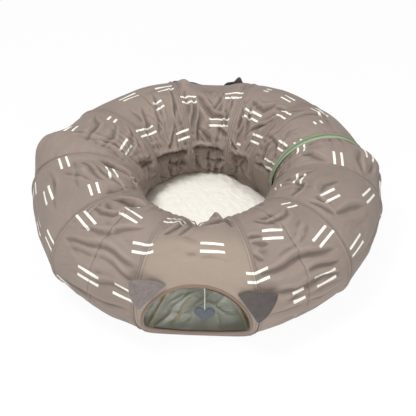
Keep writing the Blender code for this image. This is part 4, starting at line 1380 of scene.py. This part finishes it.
def tube_mesh(name, loops, material, closed=False):
    """A tube from loops (place along, place round), closed on itself or capped."""
    rows, columns = loops.shape[:2]
    points = loops.reshape(-1, 3)
    faces = [grid_faces(rows, columns, round_rows=closed, round_columns=True)]
    if not closed:
        points = np.concatenate([points, [loops[0].mean(axis=0), loops[-1].mean(axis=0)]])
        here = np.arange(columns)
        after = (here + 1) % columns
        base = (rows - 1) * columns
        first = np.stack([here, after, np.full(columns, rows * columns)], axis=-1)
        last = np.stack([base + after, base + here, first[:, 2] + 1], axis=-1)
        faces.append(np.concatenate([first, last]))
    turned = outward(points, faces)
    run = run_map(loops, closed)
    if turned is not faces:
        run = turned_round(run)
    if not closed:
        run = np.concatenate([run, np.zeros((6 * columns, 2))])
    return mesh_object(name, points, turned, material, {"cloth": run})


def run_lengths(line):
    """The distance along a line at each of its points."""
    return np.concatenate([[0], np.cumsum(np.linalg.norm(np.diff(line, axis=0), axis=1))])


def run_map(loops, closed):
    """Distances along and round a tube, in metres, at every corner."""
    middle = loops.mean(axis=1)
    along = run_lengths(np.concatenate([middle, middle[:1]]) if closed else middle)
    around = run_lengths(np.concatenate([loops[0], loops[0][:1]]))
    u, v = np.broadcast_arrays(along[:, None], around[None, :])
    corners = grid_faces(*u.shape).ravel()
    return np.stack([u.ravel()[corners], v.ravel()[corners]], axis=-1)


def along_cloth(station, distance, turn, inset):
    """Points beside a hoop, at a distance along the cloth towards the next or last hoop.

    The distance may differ from turn to turn, but lies on one side of the hoop.
    """
    step = 1 if np.mean(distance) >= 0 else -1
    other = STATIONS[(STATIONS.index(station) + step) % len(STATIONS)]
    here = station_point(station, turn, inset)
    there = station_point(other, turn, inset)
    share = np.abs(distance) / np.linalg.norm(there - here, axis=-1)
    return here + (there - here) * share[:, None]


def hoop_strip(station, profile, turns, sink=0.0):
    """Loops round the tube of a closed profile of (distance along, inset) pairs."""
    lines = [along_cloth(station, along, turns, inset + sink) for along, inset in profile]
    skirt = heading(station) * skirt_at(station, turns)[:, None]
    return np.stack(lines, axis=1) + skirt[:, None, :]


# Hoops and their channels
WIRE_RADIUS = 1.5 * MM
WIRE_DEPTH = WALL + 2.1 * MM
END_HOOP_SETBACK = 10 * MM
ZIP_HOOP_SINK = 8.0 * MM
CHANNEL_HALF_WIDTH = 7.0 * MM
CHANNEL_HEIGHT = 4.6 * MM
CHANNEL_BELL_WIDTH = 3.0 * MM
CHANNEL_EDGE = 0.7 * MM
CHANNEL_FOOT = WALL - 1.2 * MM
HOOP_ROWS = 240

# Each hoop's name, station, side of the zip, or nought, and body
HOOPS = (
    ("018", 18, 0, "front_section"),
    ("051", 51, 0, "right_section_1"),
    ("083", 83, 0, "right_section_2"),
    ("zip_a", 104, -1, "right_section_3"),
    ("zip_b", 104, 1, "rear_section_2"),
    ("134", 134, 0, "rear_section_1"),
    ("162", 162, 0, "rear_section"),
    ("198", 198, 0, "rear_section"),
    ("237", 237, 0, "left_section_3"),
    ("273", 273, 0, "left_section_2"),
    ("309", 309, 0, "left_section_1"),
    ("342", 342, 0, "front_section"),
)


def hoops_and_channels(finishes):
    """Each wire, and over it a channel whose height is a bell curve across its width."""
    turns = np.linspace(-90, 270, HOOP_ROWS, endpoint=False)
    across = np.linspace(-1, 1, 13) * CHANNEL_HALF_WIDTH
    height = CHANNEL_EDGE + CHANNEL_HEIGHT * np.exp(-((across / CHANNEL_BELL_WIDTH) ** 2))
    ends = [(CHANNEL_HALF_WIDTH, CHANNEL_FOOT), (-CHANNEL_HALF_WIDTH, CHANNEL_FOOT)]
    channel = np.concatenate([np.stack([across, WALL + height], axis=-1), ends])
    wire = circle(10, WIRE_RADIUS)[:, ::-1] + (0.0, WIRE_DEPTH)
    for name, station, side, body in HOOPS:
        setback = (side * END_HOOP_SETBACK, 0.0)
        sink = abs(side) * ZIP_HOOP_SINK * smooth(10, 50, turns)
        for piece, node, profile, slot, key in (
            ("sprung_hoop", "hoop", wire, "wire", "wire"),
            ("hoop_channel", "pocket", channel, "pocket", "channel"),
        ):
            loops = hoop_strip(station, profile + setback, turns, sink)
            thing = tube_mesh(f"{piece}_{name}", loops, finishes[key], closed=True)
            finish_piece(thing, body, slot, f"{node}_{name}")


# Entrance rims


def rim(name, facing, body, node, finishes):
    """Folded binding round the entrance, with a groove where its stitching sinks.

    Its section is a superellipse, a little flatter off the wall than along it.
    """
    sideways, height = entrance_outline(RIM_STEPS)
    path = on_panel(facing, sideways, height, WALL / 2)
    ahead = unit(np.roll(path, -1, axis=0) - np.roll(path, 1, axis=0))
    wide_x, wide_z = entrance_outline(RIM_STEPS, RIM_RADIUS)
    away = square_to(ahead, on_panel(facing, wide_x, wide_z, WALL / 2) - path)
    normal = np.cross(ahead, away)
    normal *= np.sign(normal[:, 1] * facing)[:, None]
    out, lift = signed_power(circle(28, 1.0).T, RIM_SECTION_POWER) * RIM_RADIUS
    beside = out - RIM_STITCH_PLACE
    lift = lift * RIM_FLATNESS
    lift = lift - np.sign(lift) * np.exp(-((beside / RIM_GROOVE) ** 2)) * RIM_GROOVE
    loops = carried(path, away, normal, np.stack([out, lift], axis=-1))
    stitch = np.sin(np.arange(RIM_STEPS) * (math.tau * RIM_STITCHES / RIM_STEPS))
    pucker = RIM_PUCKER * stitch[:, None] * np.exp(-((beside / RIM_PUCKER_HALF_WIDTH) ** 2))
    loops = loops + normal[:, None, :] * (pucker * np.sign(lift))[..., None]
    thing = tube_mesh(name, loops, finishes["binding"], closed=True)
    finish_piece(thing, body, "binding", node)
    if facing < 0:
        seam_band(path, away, normal, sideways, height, body, finishes)


# The seam allowance shows to the right of one place and below one height. Its section:
# distance from the rim's middle and height off the wall
BAND_LEFT = 20 * MM
BAND_TOP = 40 * MM
BAND_SECTION = np.array([(-6.6, -0.2), (-2.6, 0.9), (-2.6, -1.6), (-6.6, -1.2)]) * MM

# A line of (ring angle, turn) on the front panel's floor, and the section of its tape
STRIP_PATH = np.array([
    (358.5, 232), (357.2, 250), (355.4, 256), (353.6, 266), (352.4, 280), (351.4, 292),
    (350.4, 301),
])  # fmt: skip
STRIP_STEPS = 60
STRIP_LIFT = 2.6 * MM
STRIP_SECTION = np.array([
    (-5.0, -2.4), (-4.6, 0.9), (-3.2, 1.5), (-1.6, 0.7), (0.0, 0.4), (1.6, 0.7), (3.2, 1.5),
    (4.6, 0.9), (5.0, -2.4),
]) * MM  # fmt: skip


def seam_band(path, away, normal, sideways, height, body, finishes):
    """The dark overlocked seam allowance inside the entrance's right half and foot."""
    shown = np.flatnonzero((sideways > BAND_LEFT) | (height < BAND_TOP))
    run = shown[np.argsort(np.arctan2(height[shown] - ENTRANCE_WIDEST_HEIGHT, sideways[shown]))]
    loops = carried(path[run], away[run], normal[run], BAND_SECTION)
    thing = tube_mesh("front_entrance_seam", loops, finishes["overlock"])
    finish_piece(thing, body, "binding")


def lining_strip(finishes):
    """A seam tape that crosses the front panel's floor."""
    knots = np.linspace(0, 1, len(STRIP_PATH))
    ahead = np.linspace(0, 1, STRIP_STEPS)
    angle, turn = (np.interp(ahead, knots, line) for line in STRIP_PATH.T)
    first, last = PANEL_STATIONS[-1]
    share = (angle - first) / (last - first)
    path = tube_point(first, last, share, turn, WALL + STRIP_LIFT)
    up = np.broadcast_to((0.0, 0.0, 1.0), path.shape)
    side = unit(np.cross(np.gradient(path, axis=0), up))
    loops = carried(path, side, up, STRIP_SECTION)
    thing = tube_mesh("front_lining_tape", loops, finishes["channel"])
    finish_piece(thing, "front_section", "pocket")


# Ears
EAR_BASE = 92 * MM
EAR_HEIGHT = 86 * MM
EAR_THICKNESS = 3.2 * MM
EAR_ROWS = 40
EAR_COLUMNS = 33
EAR_CUP = 2.6 * MM
EAR_WAVE = 1.2 * MM
EAR_SEAM_INSET = 5 * MM
EAR_SEAM_HALF_WIDTH = 0.9 * MM
EAR_SEAM_DEPTH = 0.45 * MM
EAR_EDGE = 3.0 * MM
REAR_EAR_TAPER = 0.3
REAR_EAR_LIFT = 1.2 * MM
REAR_EAR_RISE = (0.0, 0.22)
EAR_WINDOW = 7
EAR_SEAT_STEP = 4 * MM
EAR_FLICK = (0.75, 1.0)

# Each front ear: its place on the rim, how far it swings along its seam, how far it leans
# out, all in degrees, how far its tip curls, and its felt, which for the right ear is the
# same felt darkened as painted shade. It stands off the wall
FRONT_EARS = (
    ("front_left_ear", 137, -6, 32, -2 * MM, "felt"),
    ("front_right_ear", 31, 8, 32, -25 * MM, "shaded_felt"),
)

# Each rear ear: its place on the rim, its swing, the share of its height that it reaches
# up the wall and how far its tip flicks out. It lies back on the wall
REAR_EARS = (
    ("rear_left_ear", 120, 12, 0.70, 0.0),
    ("rear_right_ear", 60, 20, 0.76, 13 * MM),
)


def ear_foot(turn):
    """Sideways and height by the rim at an ear's middle, and a degree each side of it."""
    near = np.radians(turn + np.array([-1, 0, 1]))
    return np.stack(entrance_point(near, RIM_RADIUS + EAR_THICKNESS), axis=-1)


def ear_seat(turn, facing):
    """The middle of an ear's seam and its three directions, on the wall by the rim."""
    near = ear_foot(turn)
    on_wall = on_panel(facing, near[:, 0], near[:, 1], 0.0)
    lower = on_panel(facing, near[1:2, 0], near[1:2, 1] - EAR_SEAT_STEP, 0.0)[0]
    upper = on_panel(facing, near[1:2, 0], near[1:2, 1] + EAR_SEAT_STEP, 0.0)[0]
    normal = np.cross((1.0, 0.0, 0.0), upper - lower)
    normal = unit(normal * np.sign(normal[1] * facing))
    seam = on_wall[2] - on_wall[0]
    seam = unit(seam - normal * (seam @ normal))
    away = np.cross(seam, normal)
    from_middle = on_wall[1] - (0, on_wall[1][1], ENTRANCE_WIDEST_HEIGHT)
    away *= np.sign(away @ from_middle)
    return on_wall[1] + normal * (EAR_THICKNESS / 2), seam, away, normal


def laid_back(turn, width, rise, thick):
    """A rear ear's points, laid on the cloth: across and up it by arc length.

    Its distance from the plain wall is the highest relief across each of its rows,
    evened out along it, so that the felt bridges the folds under it.
    """
    near = ear_foot(turn)
    _, low = panel_coordinates(0.0, near[:, 1])
    _, level = panel_coordinates(0.0, ENTRANCE_WIDEST_HEIGHT)
    flat = np.stack([-near[:, 0], (low - level) * TURN_RISE], axis=-1)
    seam = unit(flat[2] - flat[0])
    away = np.array([-seam[1], seam[0]])
    away *= np.sign(away @ flat[1])
    place = flat[1] + width[..., None] * seam + rise[..., None] * away
    wall_turn = level + place[..., 1] / TURN_RISE
    length = panel_length(wall_turn)
    share = 0.5 + place[..., 0] / length
    first, last = PANEL_STATIONS[1]
    off = relief(first, last, share, wall_turn, length) * entrance_calm(share, wall_turn)
    high = np.pad(off.max(axis=1), EAR_WINDOW - 1, mode="edge")
    high = np.lib.stride_tricks.sliding_window_view(high, EAR_WINDOW).max(axis=1)
    high = np.lib.stride_tricks.sliding_window_view(high, EAR_WINDOW).mean(axis=1)
    free = smooth(*REAR_EAR_RISE, np.linspace(0, 1, len(high)))
    lift = EAR_THICKNESS / 2 + ((high + REAR_EAR_LIFT) * free)[:, None]
    return tube_point(first, last, share, wall_turn, 0.0, lift + thick)


def ear_felt(taper):
    """An ear's grid: shares up and across, distance from its middle, half its thickness.

    It is a triangle with round sides, thinner at its pressed edge. Its half width at a
    height is the base's times (1 - share ** 1.5) ** 0.75, and the taper narrows its tip.
    """
    share = np.sin(np.linspace(0, math.pi / 2, EAR_ROWS))[:, None]
    across = signed_power(np.linspace(-1, 1, EAR_COLUMNS)[None, :], 0.75)
    half = EAR_BASE / 2 * np.clip(1 - share**1.5, 0, 1) ** 0.75 * (1 - taper * share)
    inside = (1 - np.abs(across)) * half
    edge = np.clip(inside / EAR_EDGE, 0, 1)
    edge = np.minimum(edge, (1 - share) * EAR_HEIGHT / EAR_EDGE)
    thick = EAR_THICKNESS / 2 * (0.45 + 0.55 * np.sqrt(np.clip(edge, 0, 1)))
    seam_line = np.exp(-(((inside - EAR_SEAM_INSET) / EAR_SEAM_HALF_WIDTH) ** 2))
    thick = thick - EAR_SEAM_DEPTH * seam_line * smooth(0.02, 0.08, share)
    return share, across, half * across, thick


def ear_piece(name, front, back, material):
    """Two layers of felt as one closed piece."""
    loops = np.concatenate([front, back[:, ::-1]], axis=1)
    finish_piece(tube_mesh(f"{name}_felt", loops, material), name, "felt", name)


def front_ears(finishes):
    """Ears that cup a little across, with tips that fall back as the height's square."""
    share, across, width, thick = ear_felt(0.0)
    rise = EAR_HEIGHT * share + 0 * across
    for name, turn, swing, lean, curl, key in FRONT_EARS:
        middle, seam, away, normal = ear_seat(turn, -1)
        lean, swing = math.radians(lean), math.radians(swing)
        up = away * math.cos(lean) + normal * math.sin(lean)
        face = np.cross(seam, up)
        face *= np.sign(face @ normal)
        up = up * math.cos(swing) + seam * math.sin(swing)
        cup = -EAR_CUP * np.cos(across * math.pi / 2) * smooth(0.0, 0.3, share)
        cup = cup + curl * share**2 + EAR_WAVE * np.sin(across * 5 + turn) * share
        flat = middle + width[..., None] * seam + rise[..., None] * up
        front, back = (flat + (cup + way * thick)[..., None] * face for way in (1, -1))
        ear_piece(name, front, back, finishes[key])


def rear_ears(finishes):
    """Ears that lie back on the cloth, swung along their seams."""
    share, across, width, thick = ear_felt(REAR_EAR_TAPER)
    rise = EAR_HEIGHT * share + 0 * across
    for name, turn, swing, reach, flick in REAR_EARS:
        aside = width + rise * math.sin(math.radians(swing))
        up = rise * math.cos(math.radians(swing)) * reach
        off = flick * smooth(*EAR_FLICK, share)
        front, back = (laid_back(turn, aside, up, off + way * thick) for way in (1, -1))
        ear_piece(name, front, back, finishes["felt"])


# Zip
TAPE_WIDTH = 9.5 * MM
ZIP_TURNS = (-60, 210)
ZIP_ROWS = 200
TAPE_FOOT = 0.4 * MM
TAPE_TOP = 1.9 * MM
ZIP_HALF_GAP = 0.3 * MM
COIL_MIDDLE = 2.6 * MM
COIL_RISE = 0.45 * MM
COIL_WIDTH = 2.2 * MM
COIL_PITCH = 1.7 * MM
COIL_THREAD = 0.42 * MM


def zips(finishes):
    """Each half's tape, a flat section with a soft outer edge, and its coil."""
    turns = np.linspace(*ZIP_TURNS, ZIP_ROWS)
    for suffix, side, body in (("a", -1, "right_section_3"), ("b", 1, "rear_section_2")):
        edge = ZIP_HALF_GAP
        far = edge + TAPE_WIDTH
        outline = [
            (edge, TAPE_FOOT), (edge, TAPE_TOP - 0.2 * MM), (edge + 0.3 * MM, TAPE_TOP),
            (far - 0.9 * MM, TAPE_TOP), (far - 0.3 * MM, TAPE_TOP - 0.3 * MM), (far, TAPE_FOOT),
        ]  # fmt: skip
        loops = hoop_strip(ZIP_STATION, [(side * x, -y) for x, y in outline], turns)
        tape_finish = finishes["zip_tape_front" if side < 0 else "zip_tape_back"]
        thing = tube_mesh(f"sewn_tape_{suffix}", loops, tape_finish)
        finish_piece(thing, body, "zip_tape", f"zip_tape_{suffix}")
        coil_of_teeth(f"coil_{suffix}", side, body, f"zip_teeth_{suffix}", finishes)


def coil_of_teeth(name, side, body, node, finishes):
    """A nylon coil: a round thread on a helix of small loops, one to each tooth.

    Its distance from the zip's middle grows as one less the turn's cosine, and its
    height is the turn's sine.
    """
    low, high = ZIP_TURNS
    count = int(math.radians(high - low) * ZIP_RADIUS / COIL_PITCH)
    per_loop = 8
    steps = np.arange(count * per_loop + 1)
    turn = low + (high - low) * steps / steps[-1]
    phase = steps * math.tau / per_loop
    across = ZIP_HALF_GAP + COIL_WIDTH / 2 * (1 - np.cos(phase))
    height = COIL_MIDDLE + COIL_RISE * np.sin(phase)
    path = along_cloth(ZIP_STATION, side * across, turn, -height)
    ahead = unit(np.gradient(path, axis=0))
    out = heading(ZIP_STATION) * np.cos(np.radians(turn))[:, None]
    out[:, 2] = np.sin(np.radians(turn))
    out = square_to(ahead, out)
    loops = carried(path, np.cross(ahead, out), out, circle(6, COIL_THREAD))
    finish_piece(tube_mesh(name, loops, finishes["zip_teeth"]), body, "zip_teeth", node)


# Toy
HEART_WIDTH = 52 * MM
HEART_HEIGHT = 50 * MM
HEART_THICKNESS = 10 * MM
HEART_COLUMNS = 120
HEART_RINGS = 22
CORD_RADIUS = 1.0 * MM
CORD_ROWS = 40
HEART_GROOVE_PLACE = 0.17
KNOT_SIZE = 0.62 * MM
KNOT_STRAND = 1.15 * MM


def hanging_cord(finishes):
    """The elastic cord: a straight round line from its knot to the heart's notch."""
    low, high = corners_of("toy_cord")
    x, y = (low[:2] + high[:2]) / 2
    path = np.tile((x, y, 0.0), (CORD_ROWS, 1))
    path[:, 2] = np.linspace(high[2], low[2], CORD_ROWS)
    side = np.broadcast_to((1.0, 0.0, 0.0), path.shape)
    up = np.broadcast_to((0.0, 1.0, 0.0), path.shape)
    loops = carried(path, side, up, circle(12, CORD_RADIUS))
    thing = tube_mesh("elastic_cord", loops, finishes["elastic"])
    finish_piece(thing, "toy", "elastic", "toy_cord")
    return thing, path, float(high[2] - low[2])


def heart_piece(finishes):
    """A felt heart: the classic heart curve, swelling as the root of the way in.

    Across is a cubed sine and up is four cosines. A stitched groove runs about 4 mm
    inside its edge.
    """
    middle = sum(corners_of("toy_heart")) / 2
    t = np.linspace(0, math.tau, HEART_COLUMNS, endpoint=False)
    up = 13 * np.cos(t) - 5 * np.cos(2 * t) - 2 * np.cos(3 * t) - np.cos(4 * t)
    top, bottom = up.max(), up.min()
    up = (up - (top + bottom) / 2) / (top - bottom) * HEART_HEIGHT
    across = np.sin(t) ** 3 * HEART_WIDTH / 2
    share = np.sin(np.linspace(0, math.pi / 2, HEART_RINGS))[::-1]
    inward = 1 - share
    swell = 0.16 + 0.84 * np.clip(inward / 0.75, 0, 1) ** 0.55
    beside = inward - HEART_GROOVE_PLACE
    half = HEART_THICKNESS / 2 * (swell - 0.11 * np.exp(-((beside / 0.035) ** 2)))
    pucker = 1 + 0.05 * np.cos(t * 22)[None, :] * np.exp(-((beside[:, None] / 0.08) ** 2))
    sheets = []
    for way in (-1, 1):
        depth = way * half[:, None] * pucker
        sheets.append(np.stack([across * share[:, None], depth, up * share[:, None]], axis=-1))
    front, back = sheets
    loops = np.concatenate([front[::-1], back]) + middle
    thing = tube_mesh("felt_heart", loops, finishes["heart"])
    finish_piece(thing, "toy", "heart_felt", "toy_heart")
    return thing


def knot_and_tab(finishes):
    """A trefoil knot, from sines and cosines of one, two and three turns."""
    middle = sum(corners_of("toy_knot")) / 2
    t = np.linspace(0, math.tau, 90, endpoint=False)
    x, y = np.sin(t) + 2 * np.sin(2 * t), np.cos(t) - 2 * np.cos(2 * t)
    line = np.stack([x, y, -np.sin(3 * t)], axis=-1) * KNOT_SIZE + middle
    ahead = unit(np.roll(line, -1, axis=0) - np.roll(line, 1, axis=0))
    side = unit(np.cross(ahead, line - middle))
    loops = carried(line, side, np.cross(ahead, side), circle(10, KNOT_STRAND))
    thing = tube_mesh("elastic_knot", loops, finishes["elastic"], closed=True)
    finish_piece(thing, "toy_knot", "elastic", "toy_knot")


# Mat

# Its edge waves in and out this far, this often, and its pile reaches past its solid. Its
# rear edge is raised to a height, between these shares of its radius and of its height
MAT_SCALLOP = 2.0 * MM
MAT_SCALLOPS = 10
PILE_REACH = 6.0 * MM
RAISED_EDGE = 46.0 * MM
RAISED_RADII = (0.55, 0.95)
RAISED_HEIGHTS = (0.02, 0.40)
MAT_ROWS = 150
MAT_COLUMNS = 420
PILE_LENGTHS = (0.009, 0.05)
PILE_HEIGHT = 0.35 * MM
PILE_SINK = 0.8 * MM
PILE_WAVES = 26
PILE_SEED = 21
STRAP_ROWS = 24
MAT_PROFILE = (
    (0.0, 1.0), (0.14, 1.0), (0.34, 0.985), (0.54, 0.945), (0.70, 0.88), (0.82, 0.77),
    (0.91, 0.61), (0.97, 0.43), (1.0, 0.27), (0.985, 0.14), (0.95, 0.05), (0.93, 0.0), (0.5, 0.0),
    (0.0, 0.0),
)  # fmt: skip


def rounded_profile(points, count):
    """A smooth line through points, by cubic pieces that keep their tangents."""
    points = np.array(points)
    before = np.vstack([2 * points[0] - points[1], points[:-1]])
    after = np.vstack([points[1:], 2 * points[-1] - points[-2]])
    slope = (after - before) / 2
    t = np.linspace(0, len(points) - 1 - TINY, count)
    i = t.astype(int)
    s = (t - i)[:, None]
    a, b, da, db = points[i], points[i + 1], slope[i], slope[i + 1]
    return (
        a * (2 * s**3 - 3 * s**2 + 1) + da * (s**3 - 2 * s**2 + s)
        + b * (3 * s**2 - 2 * s**3) + db * (s**3 - s**2)
    )  # fmt: skip


def mat_cushion(finishes):
    """The cushion's half profile turned round, with locks of pile as bent sine waves."""
    low, high = corners_of("mat_cushion")
    radius = (high[0] - low[0]) / 2 + PILE_REACH
    base, crown = low[2], high[2]
    profile = rounded_profile(MAT_PROFILE, MAT_ROWS)
    turns = np.linspace(0, math.tau, MAT_COLUMNS, endpoint=False)
    r = np.clip(profile[:, :1], 0, 1.0)
    z = base + (crown - base) * np.clip(profile[:, 1:], 0, 1)
    scallop = np.clip((r - 0.5) * 2, 0, 1) * MAT_SCALLOP / radius * np.cos(MAT_SCALLOPS * turns)
    around = (radius - MAT_SCALLOP) * r * (1 + scallop)
    x, y = around * np.sin(turns), -around * np.cos(turns)
    share = profile[:, 1:]
    raised = smooth(*RAISED_RADII, r) * smooth(*RAISED_HEIGHTS, share)
    raised = raised * behind_mat(np.degrees(turns))
    height = z + (RAISED_EDGE - z) * raised
    draw = np.random.default_rng(PILE_SEED)
    lumps = np.zeros(x.shape)
    for _ in range(PILE_WAVES):
        way = draw.uniform(0, math.tau)
        wave = math.tau / draw.uniform(*PILE_LENGTHS)
        phase = draw.uniform(0, math.tau)
        bent = x * math.cos(way) + y * math.sin(way) + 0.004 * np.sin(y * 190 + x * 120 + phase)
        lumps += np.sin(bent * wave + phase) * min(1.0, 26 / wave * 6)
    height = height + smooth(0.02, 0.25, share) * (lumps * PILE_HEIGHT - PILE_SINK)
    loops = np.stack([x, y, height], axis=-1)[1:-1]
    thing = tube_mesh("plush_cushion", loops, finishes["plush"])
    finish_piece(thing, "mat", "plush", "mat_cushion")


def rounded_slab(name, node, material, body, slot):
    """A flat strap with softened long edges: a superellipse section along its length."""
    low, high = corners_of(node)
    middle, half = (low + high) / 2, (high - low) / 2
    cosine, sine = circle(28, 1.0).T
    section = np.stack([signed_power(cosine, 0.22) * half[0], signed_power(sine, 0.5) * half[2]], -1)
    path = np.tile(middle, (STRAP_ROWS, 1))
    path[:, 1] = np.linspace(low[1], high[1], STRAP_ROWS)
    side = np.broadcast_to((1.0, 0.0, 0.0), path.shape)
    above = np.broadcast_to((0.0, 0.0, 1.0), path.shape)
    thing = tube_mesh(name, carried(path, side, above, section), material)
    finish_piece(thing, body, slot, node)


def ties(finishes):
    """The tunnel's loop straps and the mat's hook patches under them."""
    for end in ("front", "rear"):
        strap, hooks = f"{end}_tie_strap", f"{end}_tie_hooks"
        body = f"{end}_section"
        rounded_slab(f"{end}_loop_strap", strap, finishes["binding"], body, "binding")
        rounded_slab(f"{end}_hook_patch", hooks, finishes["hooks"], "mat", "hook_tape")


def repaint(finishes):
    """Rigid parts keep their solids and take a finish of this scene."""
    for node, key in (
        ("zip_slider", "metal"), ("zip_pull", "metal"), ("zip_stop", "metal"),
        ("zip_retainer", "metal"), ("zip_pin", "metal"), ("mat_base", "backing"),
        ("toy_tab", "binding"),
    ):  # fmt: skip
        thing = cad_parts[node]
        thing.data.materials.clear()
        thing.data.materials.append(finishes[key])


# Floor, light and view

FLOOR_GLOW = 0.94
FLOOR_HALF = 8.0
FLOOR_DEPTH = 0.4 * MM
FLOOR_COLOUR = (0.9, 0.9, 0.9, 1.0)
WHITE = (1.0, 1.0, 1.0, 1.0)
SOFT_LIGHT = (1.0, 0.99, 0.97, 1)
SOFT_STRENGTH = 0.30

# Each lamp's place, power in watts and size
LAMPS = (
    ("key_lamp", (-0.75, -0.5, 2.7), 44, 0.7),
    ("fill_lamp", (1.9, -1.5, 1.1), 9, 1.0),
    ("top_lamp", (0.2, 0.4, 2.8), 18, 1.0),
    ("low_lamp", (0.1, -2.2, 0.85), 19, 0.7),
)


def make_stage():
    """A white floor that glows for the camera, so that only the object's shade marks it."""
    square = np.array([(-1, -1, 0), (1, -1, 0), (1, 1, 0), (-1, 1, 0)])
    corners = square * FLOOR_HALF - (0, 0, FLOOR_DEPTH)
    paint = Paint("studio_floor", roughness=0.9, specular=0.1)
    paint.feed("Base Color", FLOOR_COLOUR)
    lit = Socket(paint, paint.shader.outputs[0])
    glow = paint.node("ShaderNodeEmission", None, {"Color": WHITE})
    factor = paint.seen_rays() * FLOOR_GLOW
    mixed = paint.node("ShaderNodeMixShader", None, {0: factor, 1: lit, 2: glow})
    paint.plug(paint.tree.nodes["Material Output"].inputs["Surface"], mixed)
    floor = mesh_object("studio_floor", corners, [np.array([[0, 1, 2, 3]])], paint.material)


def make_world():
    """Soft even light, and plain white behind everything."""
    world = bpy.data.worlds.new("studio")
    bpy.context.scene.world = world
    world.use_nodes = True
    nodes = Nodes(world.node_tree)
    nodes.tree.nodes.clear()
    soft = {"Color": SOFT_LIGHT, "Strength": SOFT_STRENGTH}
    soft = nodes.node("ShaderNodeBackground", None, soft)
    white = nodes.node("ShaderNodeBackground", None, {"Color": WHITE})
    mixed = nodes.node("ShaderNodeMixShader", None, {0: nodes.seen_rays(), 1: soft, 2: white})
    nodes.plug(nodes.tree.nodes.new("ShaderNodeOutputWorld").inputs["Surface"], mixed)


def area_lamp(name, place, power, size):
    """A square lamp that faces the origin."""
    data = bpy.data.lights.new(name, "AREA")
    data.energy = power
    data.size = size
    lamp = bpy.data.objects.new(name, data)
    bpy.context.scene.collection.objects.link(lamp)
    lamp.location = place
    x, y, z = place
    lamp.rotation_euler = (math.atan2(math.hypot(x, y), z), 0, math.atan2(y, x) + math.radians(90))


make_camera()
FINISHES = all_finishes()
cord_piece, cord_path, cord_length = hanging_cord(FINISHES)
heart = heart_piece(FINISHES)
knot_and_tab(FINISHES)
cloth_bays(FINISHES)
hoops_and_channels(FINISHES)
rim("front_piping", -1, "front_section", "front_rim", FINISHES)
rim("rear_piping", 1, "rear_section", "rear_rim", FINISHES)
lining_strip(FINISHES)
front_ears(FINISHES)
rear_ears(FINISHES)
zips(FINISHES)
mat_cushion(FINISHES)
ties(FINISHES)
repaint(FINISHES)
make_stage()
make_world()
for lamp in LAMPS:
    area_lamp(*lamp)
bpy.context.scene.view_settings.view_transform = "Standard"
